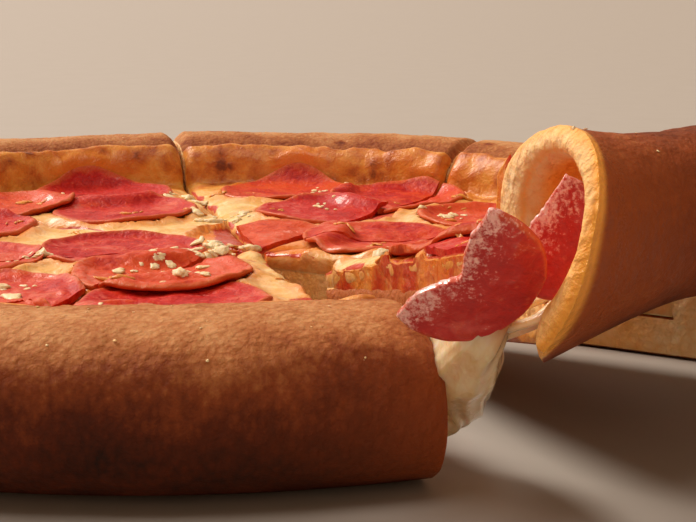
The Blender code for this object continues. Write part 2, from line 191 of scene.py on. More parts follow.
def oval(angle, width, height, squareness):
    """Points on a superellipse, as distances inwards and up from its middle."""
    across = np.cos(np.radians(angle))
    up = np.sin(np.radians(angle))
    power = 2 / squareness
    inwards = -width / 2 * np.sign(across) * np.abs(across) ** power
    return np.stack([inwards, height / 2 * np.sign(up) * np.abs(up) ** power], axis=-1)


def stood_up(number, azimuth, inset, rise):
    """Points at distances inside the rim and heights, in a wedge's sections.

    At the mouth the outer half of the roll leans: the lower a point, the nearer it is to the front wedge.
    """
    tip = wedge_tip(number)
    out = outward(azimuth)[:, None, :] * (reach(tip, azimuth)[:, None] - inset)[..., None]
    if number == LIFTED:
        from_cut = rim_length(azimuth - wedge_edges(number)[0])
        opened = np.clip(1 - from_cut / MOUTH_REACH, 0, None)[:, None] ** 2
        held = np.clip((LEAN_INSETS[1] - inset) / (LEAN_INSETS[1] - LEAN_INSETS[0]), 0, 1)
        lean = MOUTH_LEAN * opened * held * (ROLL_HEIGHT - rise)
        out = out + outward(azimuth - 90)[:, None, :] * lean[..., None]
    return tip + out + np.array((0, 0, 1)) * rise[..., None]


def scrambled(cell, salt):
    """A number from -1 to 1 that looks random, for each whole-number point."""
    x, y, z = np.moveaxis(cell, -1, 0)
    number = (x * 73856093) ^ (y * 19349663) ^ (z * 83492791) ^ (salt * 40503)
    number = (number & 0xFFFFFFFF) * 1274126177 & 0xFFFFFFFF
    number = ((number ^ (number >> 15)) * 2246822519) & 0xFFFFFFFF
    return ((number ^ (number >> 13)) & 0xFFFF) / 0x7FFF - 1


def hills(points, size, layer=0):
    """Smooth hills and hollows from about -1 to 1, of the given size across, at an array of points."""
    spot = np.asarray(points, float) / size + 31.7 * layer + 0.37
    cell = np.floor(spot).astype(np.int64)
    share = spot - cell
    fade = share**3 * (share * (share * 6 - 15) + 10)
    total = np.zeros(spot.shape[:-1])
    for corner in np.ndindex(2, 2, 2):
        step = np.array(corner)
        slopes = [scrambled(cell + step, salt) for salt in (11, 23, 37)]
        drop = sum(slope * (share - step)[..., axis] for axis, slope in enumerate(slopes))
        weight = np.prod(np.where(step == 1, fade, 1 - fade), axis=-1)
        total += drop * weight
    return np.clip(total * 1.35, -1.2, 1.2)


def hilly(points, *kinds):
    """Hills of several kinds added up: each kind is its weight, its size in mm and its layer."""
    return sum(weight * hills(points, size * MM, layer) for weight, size, layer in kinds)


def row_angles(pitch, covered_coarser):
    """The roll's outline as angles from its foot to its underside, wider apart where it is covered."""
    dense = np.linspace(ROLL_START, ROLL_END, 3000)
    steps = np.linalg.norm(np.diff(oval(dense, ROLL_WIDTH, ROLL_HEIGHT, ROLL_SQUARENESS), axis=0), axis=1)
    spacing = np.where(dense[1:] > COVERED_FROM, covered_coarser, 1) * pitch
    spacing = np.where(dense[1:] < UNDERNEATH_BELOW, UNDERNEATH_COARSER * pitch, spacing)
    count = np.concatenate([[0], np.cumsum(steps / spacing)])
    return np.interp(np.linspace(0, count[-1], int(count[-1]) + 1), count, dense)


class Shell:
    """A closed skin as it is put together: its points, the tones that colour them, and its faces."""

    def __init__(self, *tones):
        self.points = []
        self.tones = {tone: [] for tone in tones}
        self.faces = []
        self.count = 0

    def add(self, points, **tones):
        """Add an array of points and return their numbers in the same shape."""
        shape = points.shape[:-1]
        number = np.arange(self.count, self.count + int(np.prod(shape))).reshape(shape)
        self.count += number.size
        self.points.append(points.reshape(-1, 3).copy())
        for tone, values in self.tones.items():
            values.append(np.broadcast_to(tones.get(tone, 0.0), shape).reshape(-1))
        return number

    def skin(self, grid):
        """Faces over a grid of points, whose last column is joined to its first."""
        grid = np.concatenate([grid, grid[:, :1]], axis=1)
        corners = (grid[:-1, :-1], grid[1:, :-1], grid[1:, 1:], grid[:-1, 1:])
        for face in np.stack([corner.ravel() for corner in corners], axis=-1).tolist():
            kept = [number for place, number in enumerate(face) if number != face[place - 1]]
            if len(kept) > 2:
                self.faces.append(kept)

    def piece(self, name, finish, place, slot, node=None, sharp_above=None, cuts=()):
        """Make the skin a piece in its place, cut off beyond planes, smooth but for its sharp edges."""
        mesh = bpy.data.meshes.new(name)
        mesh.from_pydata(np.concatenate(self.points).tolist(), [], self.faces)
        for tone, values in self.tones.items():
            layer = mesh.attributes.new(tone, "FLOAT", "POINT")
            layer.data.foreach_set("value", np.concatenate(values).astype(np.float32))
        work = bmesh.new()
        work.from_mesh(mesh)
        loose = [vertex for vertex in work.verts if not vertex.link_faces]
        bmesh.ops.delete(work, geom=loose, context="VERTS")
        for spot, away in cuts:
            everything = [*work.verts, *work.edges, *work.faces]
            plane = dict(plane_co=spot, plane_no=away, clear_outer=True)
            done = bmesh.ops.bisect_plane(work, geom=everything, **plane)
            rims = [part for part in done["geom_cut"] if isinstance(part, bmesh.types.BMEdge)]
            if rims:
                bmesh.ops.contextual_create(work, geom=rims)
        bmesh.ops.triangulate(work, faces=[face for face in work.faces if len(face.verts) > 4])
        bmesh.ops.recalc_face_normals(work, faces=work.faces)
        work.transform(place)
        work.to_mesh(mesh)
        work.free()
        mesh.shade_smooth()
        if sharp_above:
            mesh.set_sharp_from_angle(angle=math.radians(sharp_above))
        mesh.materials.append(finish.material)
        item = bpy.data.objects.new(name, mesh)
        bpy.context.scene.collection.objects.link(item)
        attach(item, "root")
        if node:
            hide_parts(node)


def inside(spots, outline):
    """Which flat spots lie inside a closed outline."""
    x, y = spots[:, :1], spots[:, 1:]
    start, end = outline, np.roll(outline, -1, axis=0)
    crosses = (start[:, 1] > y) != (end[:, 1] > y)
    rise = np.where(end[:, 1] == start[:, 1], 1e-12, end[:, 1] - start[:, 1])
    at = start[:, 0] + (y - start[:, 1]) * (end[:, 0] - start[:, 0]) / rise
    return (crosses & (x < at)).sum(axis=1) % 2 == 1


def gap_to(spots, outline):
    """How far flat spots are from a closed outline."""
    start, end = outline, np.roll(outline, -1, axis=0)
    along = end - start
    length = np.maximum((along**2).sum(axis=1), 1e-14)
    best = np.full(len(spots), np.inf)
    for origin, way, size in zip(start, along, length):
        share = np.clip(((spots - origin) @ way) / size, 0, 1)
        best = np.minimum(best, np.linalg.norm(spots - origin - share[:, None] * way, axis=1))
    return best


def cut_face(shell, number, azimuth, away, rings, pitch, relief, **tones):
    """Close a wedge's end where the wheel cut it: a flat face between outlines, roughened by a relief.

    rings are the numbers of the points on the outline and on any hole in it. relief and each tone are worked
    out from the spots and their distance to the edge.
    """
    tip = wedge_tip(number)
    out = outward(azimuth)
    facing = outward(azimuth + 90) * away
    every = np.concatenate(shell.points)
    flats = [np.stack([(every[ring] - tip) @ out, every[ring][:, 2]], axis=-1) for ring in rings]
    low, high = flats[0].min(axis=0), flats[0].max(axis=0)
    across, up = np.meshgrid(np.arange(low[0], high[0], pitch), np.arange(low[1], high[1], pitch * 0.87))
    across = across + pitch / 2 * (np.arange(len(across)) % 2)[:, None]
    spots = np.stack([across.ravel(), up.ravel()], axis=-1)
    lay = np.concatenate([spots, np.zeros((len(spots), 1))], axis=1)
    spots = spots + 0.25 * pitch * np.stack([hills(lay, 1.3 * pitch, 5), hills(lay, 1.3 * pitch, 6)], axis=-1)
    spots = spots[inside(spots, flats[0])]
    for hole in flats[1:]:
        spots = spots[~inside(spots, hole)]
    edge_gap = np.min([gap_to(spots, outline) for outline in flats], axis=0)
    clear = edge_gap > 0.55 * pitch
    spots, edge_gap = spots[clear], edge_gap[clear]
    whole = reach(tip, azimuth)
    solid = stood_up(number, np.array((azimuth,)), whole - spots[None, :, 0], spots[None, :, 1])[0]
    shades = {tone: shade(solid, edge_gap) for tone, shade in tones.items()}
    fresh = shell.add(solid + facing * relief(solid, edge_gap)[:, None], **shades)
    labels = np.concatenate([*rings, fresh])
    borders = []
    offset = 0
    for outline in flats:
        size = len(outline)
        borders += [(offset + step, offset + (step + 1) % size) for step in range(size)]
        offset += size
    laid = [Vector(spot) for spot in np.concatenate([*flats, spots])]
    corners, _, faces, sources, _, _ = delaunay_2d_cdt(laid, borders, [], 0, 1e-9)
    flat = np.array([tuple(corner) for corner in corners])
    triangles = np.array([face for face in faces if len(face) == 3])
    centres = flat[triangles].mean(axis=1)
    keep = inside(centres, flats[0])
    for hole in flats[1:]:
        keep &= ~inside(centres, hole)
    for face in triangles[keep]:
        shell.faces.append([int(labels[sources[corner][0]]) for corner in face])


class Wire:
    """A value in a finish. Arithmetic on it adds the nodes that work it out."""

    def __init__(self, finish, socket):
        self.finish = finish
        self.socket = socket

    def worked(self, operation, *values):
        return self.finish.add("ShaderNodeMath", {"operation": operation}, dict(enumerate(values)))

    def __add__(self, other):
        return self.worked("ADD", self, other)

    def __sub__(self, other):
        return self.worked("SUBTRACT", self, other)

    def __rsub__(self, other):
        return self.worked("SUBTRACT", other, self)

    def __mul__(self, other):
        return self.worked("MULTIPLY", self, other)

    __radd__ = __add__
    __rmul__ = __mul__

    def between(self, low, high):
        """0 below low, 1 above high, and a smooth rise from one to the other."""
        sockets = {"Value": self, "From Min": low, "From Max": high}
        return self.finish.add("ShaderNodeMapRange", {"interpolation_type": "SMOOTHSTEP"}, sockets)


class Finish:
    """A procedural finish on one Principled surface."""

    def __init__(self, name, **constants):
        self.material = bpy.data.materials.new(name)
        self.material.use_nodes = True
        self.nodes = self.material.node_tree.nodes
        self.surface = self.nodes["Principled BSDF"]
        for socket, value in constants.items():
            self.surface.inputs[socket.replace("_", " ")].default_value = value

    def add(self, kind, settings=None, sockets=None, output=0):
        """A node of a kind: its settings first, then values or links for its sockets."""
        node = self.nodes.new(kind)
        for setting, value in (settings or {}).items():
            if setting == "stops":
                ramp = node.color_ramp
                while len(ramp.elements) < len(value):
                    ramp.elements.new(0.5)
                for element, (position, colour) in zip(ramp.elements, value):
                    element.position = position
                    element.color = (*colour, 1)
            else:
                setattr(node, setting, value)
        for socket, value in (sockets or {}).items():
            self.put(node.inputs[socket], value)
        return Wire(self, node.outputs[output])

    def put(self, socket, value):
        if isinstance(value, Wire):
            self.material.node_tree.links.new(value.socket, socket)
        elif isinstance(value, tuple) and socket.type == "RGBA":
            socket.default_value = (*value, 1)
        else:
            socket.default_value = value

    def show(self, **sockets):
        for socket, value in sockets.items():
            self.put(self.surface.inputs[socket.replace("_", " ")], value)

    def place(self, stretch=(1, 1, 1)):
        """Where a spot is on the piece, with its directions stretched."""
        spot = self.add("ShaderNodeTexCoord", output="Object")
        if stretch == (1, 1, 1):
            return spot
        return self.add("ShaderNodeVectorMath", {"operation": "MULTIPLY"}, {0: spot, 1: stretch})

    def tone(self, name):
        return self.add("ShaderNodeAttribute", {"attribute_name": name}, output="Fac")

    def grain(self, size, detail=2.0, roughness=0.5, spot=None, warp=0.0):
        """Soft noise from 0 to 1 with lumps of a size."""
        sockets = {"Scale": 1 / size, "Detail": detail, "Roughness": roughness, "Distortion": warp}
        sockets["Vector"] = spot or self.place()
        return self.add("ShaderNodeTexNoise", None, sockets)

    def cells(self, size, smooth, spot=None):
        """The distance to the middle of the nearest cell, in cells of a size."""
        sockets = {"Scale": 1 / size, "Smoothness": smooth, "Vector": spot or self.place()}
        return self.add("ShaderNodeTexVoronoi", {"feature": "SMOOTH_F1"}, sockets)

    def ramp(self, share, stops):
        return self.add("ShaderNodeValToRGB", {"stops": stops}, {"Fac": share})

    def mix(self, share, one, other, way="MIX"):
        """One colour, turning into the other as the share grows."""
        settings = {"data_type": "RGBA", "blend_type": way}
        return self.add("ShaderNodeMix", settings, {0: share, 6: one, 7: other}, output=2)

    def bumps(self, height, depth, strength=1.0, on=None):
        sockets = {"Height": height, "Distance": depth, "Strength": strength}
        if on:
            sockets["Normal"] = on
        return self.add("ShaderNodeBump", None, sockets)


crust_finish = Finish(
    "Baked crust", Specular_IOR_Level=0.16, Subsurface_Weight=0.2, Subsurface_Scale=2.5 * MM,
    Subsurface_Radius=(1.0, 0.35, 0.12),
)
baked_and_shaded = crust_finish.tone("browning")
crumb = crust_finish.tone("crumb")
oil = crust_finish.tone("oil")
smoothed = crust_finish.tone("smoothness")
tall = crust_finish.place((1, 1, 0.62))
sand = crust_finish.grain(0.42 * MM, 3.0, 0.62)
pimples = crust_finish.cells(1.15 * MM, 0.45, tall)
dimples = crust_finish.grain(1.7 * MM, 2.0, 0.5, tall, 0.4)
clouds = crust_finish.grain(11 * MM, 4.0, 0.6)
patches = crust_finish.grain(3.6 * MM, 3.0, 0.55)
raised = (1 - pimples) * 0.55 + dimples * 0.45
darkness = baked_and_shaded + (clouds - 0.5) * 0.5 + (patches - 0.5) * 0.28 + (0.5 - raised) * 0.34 + (0.5 - sand) * 0.22
# The dark end of this ramp gives deep browning and also the painted shade at the foot of the roll.
crust_colour = crust_finish.ramp(darkness, [
    (0.0, (0.56, 0.265, 0.105)), (0.2, (0.41, 0.14, 0.042)), (0.42, (0.23, 0.050, 0.013)),
    (0.66, (0.105, 0.020, 0.007)), (1.0, (0.022, 0.008, 0.006)),
])
holes = crust_finish.cells(2.1 * MM, 0.25)
fluff = crust_finish.grain(0.7 * MM, 4.0, 0.6)
crumb_colour = crust_finish.ramp(fluff * 0.5 + (1 - holes) * 0.5, [
    (0.15, (0.88, 0.50, 0.20)), (0.5, (0.93, 0.65, 0.34)), (0.9, (0.96, 0.78, 0.50)),
])
# Oil turns the crumb orange; in the open end of the lifted wedge's bore this bright orange is partly a
# painted glow.
crumb_colour = crust_finish.mix(oil, crumb_colour, (1.0, 0.42, 0.07))
# Painted glow, with real oil: the skin turns orange where the oil tone is high, most near the cuts.
oil_and_painted_glow = crust_finish.mix(oil * 0.75, crust_colour, (0.40, 0.085, 0.018))
shown = crust_finish.mix(crumb.between(0.35, 0.65), oil_and_painted_glow, crumb_colour)
grainy = crust_finish.bumps(raised * (1 - smoothed * 0.5) + sand * 0.25, 0.5 * MM, 0.8)
spongy = fluff * (1 + crumb) + patches * 2 + holes * crumb * 2.5
crust_finish.show(
    Base_Color=shown,
    Roughness=0.78 - oil * 0.42 - smoothed * 0.12 + (sand - 0.5) * 0.2,
    Normal=crust_finish.bumps(spongy, 0.4 * MM, 0.65, grainy),
)


def bore_rings(number, azimuth, spare, points=48):
    """The inside of the roll at some azimuths, made larger all round by a spare."""
    width, height, droop, opened = roll_size(number, azimuth)
    angle = np.linspace(0, 360, points, endpoint=False)[None, :]
    ring = oval(angle, 1, 1, 2)
    wide = (BORE_WIDTH * width * (1 + BORE_FLARE * opened))[:, None] + 2 * spare
    tall = (BORE_HEIGHT * height + 2 * MOUTH_RISE * opened)[:, None] + 2 * spare
    inset = ROLL_WIDTH / 2 - BORE_SHIFT * opened[:, None] + ring[..., 0] * wide
    centre = (BORE_RAISE + MOUTH_RISE * opened) * height - droop
    return stood_up(number, azimuth, inset, centre[:, None] + ring[..., 1] * tall)


def crust_tones(number, azimuth, inset, rise, roll):
    """How brown, crumbly, oily and smooth a roll's skin is; the brown holds painted shade, the oil a painted
    glow.
    """
    first, second = wedge_edges(number)
    from_cut = rim_length(np.minimum(azimuth - first, second - azimuth))[:, None]
    near_cut = fading(from_cut, 7 * MM)
    outside = smooth_step(-(inset - 17 * MM), 0, 14 * MM)
    if number == LIFTED:
        # Painted shade, with real browning: the outside gets a little darker low down.
        toasted = 0.6 + 0.05 * outside * smooth_step(-rise, -22 * MM, -4 * MM)
        # Painted glow, with real oil: the skin is paler and orange near the mouth.
        toasted = toasted + hilly(roll, (0.16, 12, 8), (0.10, 4, 9)) - 0.28 * near_cut
        orange = 0.8 * near_cut + 0.55 * outside * smooth_step(-rise, -29 * MM, -20 * MM)
        return dict(browning=toasted, oil=orange, smoothness=0.5, crumb=0.9 * fading(from_cut, 1.6 * MM))
    # Painted shade, with real browning: the outside of the roll darkens steeply towards its foot.
    toasted = 0.08 + 0.75 * outside * smooth_step(-rise, -29 * MM, -5 * MM) ** 0.62
    toasted = toasted + 0.22 * smooth_step(inset, 20 * MM, 31 * MM) * (1 - outside)
    toasted = toasted + hilly(roll, (0.10, 16, 8), (0.07, 6, 9))
    if number == FRONT:
        toasted = toasted + 0.14 * fading(rim_length(second - azimuth), 24 * MM)[:, None]
    blister = 0.5 * smooth_step(hills(roll, 9 * MM, 10), 0.42, 0.7) * smooth_step(inset, 19 * MM, 26 * MM)
    # Painted glow, with real oil: the skin turns orange towards the cut ends, most on the front wedge.
    orange = near_cut**0.55 if number == FRONT else near_cut * 0.35
    orange = orange * smooth_step(-rise, -27 * MM, -18 * MM) * outside
    return dict(browning=toasted + blister * (1 - outside), oil=orange)


def close_dough(shell, number, side, azimuth, rings):
    """The face that the wheel cut at one side of a wedge's dough, which the oil has soaked into."""
    torn_open = (number, side) == (LIFTED, -1)
    bulge = (1.5 if torn_open else 0.35) * MM

    def relief(spots, gap):
        soft = bulge * (1 - fading(gap, 1.1 * MM))
        pores = np.clip(hills(spots, 2.4 * MM, 16) - 0.2, 0, 1) * 0.8 + 0.25 * hills(spots, 0.9 * MM, 17)
        return soft - pores * 0.45 * MM * np.clip(gap / (0.9 * MM), 0, 1)

    def inner(spots, begins, ends):
        return smooth_step(-np.linalg.norm(spots[:, :2], axis=1), -begins * MM, -ends * MM)

    def white(spots, gap):
        return 1 - 0.7 * inner(spots, 117, 109) * torn_open

    def soaked(spots, gap):
        if not torn_open:
            return np.clip(0.2 + 0.4 * inner(spots, 119, 105) + 0.25 * hills(spots, 5 * MM, 18), 0, 1)
        low = smooth_step(-spots[:, 2], -22 * MM, -8 * MM) + inner(spots, 117, 109)
        return np.clip(0.9 * fading(gap, 1.3 * MM) + 0.5 * low + 0.15 * hills(spots, 6 * MM, 18), 0, 1)

    pitch = (0.6 if number in (*SECTION_PITCH, 2) else 1.1) * MM
    cut_face(shell, number, azimuth, side, rings, pitch, relief, crumb=white, oil=soaked)


def bake_dough(number):
    """A wedge's dough: its skin, the hole along its roll, and the two faces that the wheel cut."""
    azimuth = sections(number)
    first, second = wedge_edges(number)
    shell = Shell("browning", "crumb", "oil", "smoothness")
    width, height, droop, _ = roll_size(number, azimuth)
    angles = row_angles(0.45 * MM, 5) if number in SECTION_PITCH else row_angles(0.9 * MM, 2.5)
    curve = oval(angles, ROLL_WIDTH, ROLL_HEIGHT, ROLL_SQUARENESS)
    ahead = np.gradient(curve, axis=0)
    normal = np.stack([-ahead[:, 1], ahead[:, 0]], axis=-1)
    normal /= -np.linalg.norm(normal, axis=1)[:, None]
    inset = ROLL_WIDTH / 2 + curve[:, 0] * width[:, None]
    rise = (ROLL_HEIGHT / 2 + curve[:, 1]) * height[:, None] - droop[:, None]
    roll = stood_up(number, azimuth, inset, rise)
    skin = outward(azimuth)[:, None, :] * -normal[None, :, :1] + np.array((0, 0, 1)) * normal[None, :, 1:]
    tall_spots = roll * np.array((1, 1, 0.6))
    swell = hilly(roll, (0.55, 24, 1), (0.28, 8, 2))
    goose = hilly(tall_spots, (0.16, 2.2, 3), (0.09, 1.1, 4))
    roll = roll + skin * ((swell + goose * (0.6 if number == LIFTED else 1.0)) * MM)[..., None]
    grid = shell.add(roll, **crust_tones(number, azimuth, inset, rise, roll))

    whole = reach(wedge_tip(number), azimuth)
    flats = np.linspace(0, 1, 9)[None, :] ** 1.3
    under_inset = UNDERSIDE_INSET + (whole[:, None] - UNDERSIDE_INSET) * flats
    under = stood_up(number, azimuth, under_inset, -droop[:, None] * (1 - flats))
    floor_rows = shell.add(under, browning=0.55 + 0.2 * hills(under, 9 * MM, 12))
    floor_rows[:, -1] = floor_rows[0, -1]
    top_tip = stood_up(number, azimuth[:1], whole[:1, None], np.full((1, 1), BASE_THICKNESS))
    top_tip = shell.add(top_tip, crumb=1.0)
    ring = np.concatenate([np.repeat(top_tip, len(azimuth), axis=0), grid, floor_rows], axis=1)
    shell.skin(ring)

    fine = rim_length(azimuth - first) < (20 * MM if number == LIFTED else 0)
    last = len(azimuth) - 1
    kept = np.unique(np.concatenate([np.flatnonzero(fine), np.arange(0, last + 1, 6), [last]]))
    bore = bore_rings(number, azimuth[kept], 0)
    from_middle = (bore - bore.mean(axis=1, keepdims=True)) / (9 * MM)
    bore = bore + 0.25 * MM * hills(bore, 5 * MM, 14)[..., None] * from_middle
    # Partly a painted glow: the bore is oiled a bright orange towards the mouth.
    greasy = 0.95 * smooth_step(rim_length(azimuth[kept] - first), 0.2 * MM, 4 * MM)[:, None]
    hole = shell.add(bore, crumb=1.0, oil=greasy if number == LIFTED else 0.5)
    shell.skin(hole)
    close_dough(shell, number, -1, first, [ring[0], hole[0]])
    close_dough(shell, number, 1, second, [ring[-1], hole[-1]])
    node = f"slice_{number}_dough"
    shell.piece(f"wedge_{number}_crust", crust_finish, wedge_place(number), "baked_dough", node, 55)


for number in WEDGES:
    bake_dough(number)

# ---- The layer of cheese ----
# Mozzarella strewn over the base and up the inside of the roll, melted into one layer under the pepperoni. It
# is golden and blistered on the roll, pale and lumpy further in, and stained by sauce and the meat's oil.

CHEESE_THICKNESS = 5.2 * MM
CHEESE_ON_ROLL = 2.4 * MM
CHEESE_EDGE = 13.3 * MM
CUT_SAG = 1.3 * MM
PEPPERONI_PLACES = np.array((
    (-32, 88), (24, 90), (-24, 56), (-60, 68), (56, 73), (33, 50), (77, 33), (-21, -5), (15, 12), (44, 5),
    (-8, -66), (-11, -36), (-47, -55), (32, -87), (41, -52), (-66, 32), (-92, 4), (-60, -14),
    (-85, -36), (-50, -82), (-15, -91), (74, -50), (92, -14),
)) * MM
PEPPERONI_RADIUS = 20.5 * MM
PEPPERONI_WOBBLE = 0.05
PEPPERONI_LOBES = 1.5
PEPPERONI_VARIETY = 90


def pepperoni_edge(centre, azimuth):
    """How far a slice of pepperoni reaches from its middle in some directions."""
    middle = Vector((*centre, 0)) * PEPPERONI_VARIETY
    wobble = np.array([noise(Vector(way) * PEPPERONI_LOBES + middle) for way in outward(azimuth)])
    return PEPPERONI_RADIUS * (1 + PEPPERONI_WOBBLE * wobble)


compass = np.arange(0, 361, 3.0)
edge_tables = [pepperoni_edge(centre, compass) for centre in PEPPERONI_PLACES]


def gap_to_pepperoni(spots):
    """How far spots are outside the nearest slice of pepperoni; below 0 under one."""
    nearest = np.full(spots.shape[:-1], np.inf)
    for centre, table in zip(PEPPERONI_PLACES, edge_tables):
        away = spots[..., :2] - centre
        edge = np.interp(azimuths(away) % 360, compass, table)
        nearest = np.minimum(nearest, np.linalg.norm(away, axis=-1) - edge)
    return nearest


def level(spots):
    """Spots brought down to the table."""
    return spots * np.array((1, 1, 0))


def lumps(spots, number):
    """How far the cheese's surface is above its usual height, and the gap to the pepperoni."""
    flat = level(spots)
    gap = gap_to_pepperoni(flat)
    rise = hilly(flat, (0.9, 17, 21), (0.75, 7.5, 22), (0.42, 3.4, 23), (0.14, 1.5, 24))
    bead = (1.0 + 0.85 * hills(flat, 9 * MM, 25)) * np.exp(-((gap - 0.6 * MM) / (1.9 * MM)) ** 2)
    rise = np.where(gap > 0, rise + bead, rise * 0.5 - np.clip(-gap / (2 * MM), 0, 0.5))
    tip = wedge_tip(number)
    first, second = wedge_edges(number)
    sides = [(spots - tip) @ outward(edge + 90) * side for edge, side in ((first, 1), (second, -1))]
    return rise * MM - CUT_SAG * fading(np.minimum(*sides), 1.5 * MM), gap


def roll_top(across, wider):
    """The height of the roll's top at distances inwards from its middle, with a coat of a thickness on it."""
    share = np.abs(across) / (ROLL_WIDTH / 2 + wider)
    top = (1 - np.clip(share, 0, 1) ** ROLL_SQUARENESS) ** (1 / ROLL_SQUARENESS)
    return ROLL_HEIGHT / 2 + (ROLL_HEIGHT / 2 + 0.6 * wider) * top - np.clip(share - 1, 0, None) * 60 * MM


def cheese_edge(spots, width):
    """How far inside the rim the cheese on the roll begins, which wanders as it has flowed and browned."""
    wander = 2.0 * hills(level(spots), 13 * MM, 27) + 0.9 * hills(level(spots), 4 * MM, 28)
    return ROLL_WIDTH / 2 + CHEESE_EDGE * width + wander * MM


def cheese_height(inset, width, height, droop, edge):
    """The height of the cheese at distances inside the rim, without its lumps."""
    across = (inset - ROLL_WIDTH / 2) / width
    bare = roll_top(across, 0) * height - droop
    coated = roll_top(across, CHEESE_ON_ROLL) * height - droop
    flat = BASE_THICKNESS + CHEESE_THICKNESS
    soft = 1.3 * MM
    joined = np.maximum(coated, flat) + soft * np.log1p(np.exp(-np.abs(coated - flat) / soft))
    grown = np.sqrt(1 - (1 - np.clip((inset - edge) / (3.2 * MM), 0, 1)) ** 2)
    return bare + (joined - bare) * grown


cheese_finish = Finish(
    "Melted cheese", Specular_IOR_Level=0.25, Subsurface_Weight=0.25, Subsurface_Scale=2.5 * MM,
    Subsurface_Radius=(1.0, 0.55, 0.2), Coat_Roughness=0.16,
)
toast = cheese_finish.tone("toast")
grease = cheese_finish.tone("grease")
sauce = cheese_finish.tone("sauce")
curds = cheese_finish.grain(5.5 * MM, 4.0, 0.6, None, 0.6)
flecks = cheese_finish.grain(1.6 * MM, 4.0, 0.65)
blisters = cheese_finish.cells(4.6 * MM, 0.5)
curd = cheese_finish.tone("curd")
pale = cheese_finish.mix(curds.between(0.38, 0.62), (0.78, 0.47, 0.14), (0.88, 0.68, 0.36))
heat = toast + (curds - 0.5) * 0.7 + (0.45 - blisters) * 0.35 + (flecks - 0.5) * 0.4
golden = cheese_finish.ramp(heat, [
    (0.0, (1.0, 1.0, 1.0)), (0.35, (0.98, 0.84, 0.56)), (0.62, (0.86, 0.50, 0.19)),
    (0.85, (0.55, 0.19, 0.05)), (1.0, (0.20, 0.05, 0.015)),
])
baked = cheese_finish.mix(1.0, pale, golden, "MULTIPLY")
oily = cheese_finish.mix((grease + (flecks - 0.5) * 0.5) * 1.1, baked, (0.76, 0.20, 0.022))
white = cheese_finish.mix(curd * 0.85, oily, (0.90, 0.69, 0.42))
stained = cheese_finish.mix((sauce + (flecks - 0.5) * 0.6).between(0.35, 0.75), white, (0.52, 0.04, 0.010))
cheese_finish.show(
    Base_Color=stained,
    Roughness=0.42 - grease * 0.16 + (flecks - 0.5) * 0.25,
    Coat_Weight=(grease * 0.25 + sauce * 0.1) * curds.between(0.4, 0.6) + 0.05,
    Normal=cheese_finish.bumps(curds * 2 + flecks * 0.7 - blisters * 0.6, 0.6 * MM, 0.6),
)


def melt_cheese(number):
    """A wedge's share of the cheese, closed under itself and at both cuts."""
    close = number in (1, 2, 7, 8)
    pitch = (0.8 if close else 1.25) * MM
    azimuth = sections(number, 1.5)
    first, second = wedge_edges(number)
    tip = wedge_tip(number)
    width, height, droop = (value[:, None] for value in roll_size(number, azimuth)[:3])
    whole = reach(tip, azimuth)[:, None]
    column = np.zeros((len(azimuth), 1))
    edge = cheese_edge(stood_up(number, azimuth, column + 30 * MM, column), width)
    slope = np.linspace(0, 11 * MM, int(11 * MM / (0.5 * pitch)))
    beyond = np.linspace(0, 1, int(105 * MM / pitch))[1:]
    inset = np.concatenate([edge + slope, edge + slope[-1] + (whole - edge - slope[-1]) * beyond], axis=1)
    rise = cheese_height(inset, width, height, droop, edge)
    top = stood_up(number, azimuth, inset, rise)
    extra, gap = lumps(top, number)
    grown = smooth_step(inset - edge, 0, 3 * MM)
    top[..., 2] += extra * grown
    from_roll = inset - edge
    toasted = 0.62 * smooth_step(-from_roll, -34 * MM, -6 * MM) + 0.12 + 0.22 * hills(top, 6 * MM, 32)
    greased = fading(gap, 3.2 * MM) * (0.75 + 0.5 * hills(top, 9 * MM, 31)) + 0.25 * hills(top, 15 * MM, 33)
    sauced = smooth_step(hills(top, 10 * MM, 34) - extra / (2.2 * MM), 0.25, 0.8)
    sauced = sauced * smooth_step(from_roll, 9 * MM, 20 * MM)
    shell = Shell("toast", "grease", "sauce")
    start = shell.add(stood_up(number, azimuth, edge - 0.2 * MM, rise[:, :1] - 0.7 * MM), toast=0.8)
    rows = shell.add(top, toast=toasted, grease=np.clip(greased, 0, 1), sauce=sauced)
    rows[:, -1] = rows[0, -1]
    sunk = BASE_THICKNESS - 0.4 * MM
    base = shell.add(stood_up(number, azimuth[:1], whole[:1], np.full((1, 1), sunk)))
    hidden = np.array((ROLL_START, 178.0, 158.0, 143.0))
    hidden = oval(hidden, ROLL_WIDTH - 1 * MM, ROLL_HEIGHT - 1 * MM, ROLL_SQUARENESS)
    under_inset = ROLL_WIDTH / 2 + hidden[:, 0] * width
    under_rise = (ROLL_HEIGHT / 2 + hidden[:, 1]) * height - droop
    under_rise[:, 0] = sunk
    under = shell.add(stood_up(number, azimuth, under_inset, under_rise))
    ring = np.concatenate([start, rows, np.repeat(base, len(azimuth), axis=0), under], axis=1)
    shell.skin(ring)

    def relief(spots, gap):
        drips = 0.45 + 0.3 * hills(spots * (1, 1, 0.5), 4.5 * MM, 36) + 0.12 * hills(spots, 1.6 * MM, 37)
        return drips * MM * (1 - fading(gap, 0.8 * MM))

    def browned(spots, gap):
        return 0.1 + 0.15 * hills(spots, 5 * MM, 38)

    def greasy(spots, gap):
        return 0.45 + 0.35 * hills(spots, 6 * MM, 39)

    for bound, side, outline in ((first, -1, ring[0]), (second, 1, ring[-1])):
        cut_face(shell, number, bound, side, [outline], pitch * 0.9, relief, toast=browned, grease=greasy)
    node = f"slice_{number}_cheese"
    shell.piece(f"wedge_{number}_cheese", cheese_finish, wedge_place(number), "melted_cheese", node, 60)


for number in WEDGES:
    melt_cheese(number)


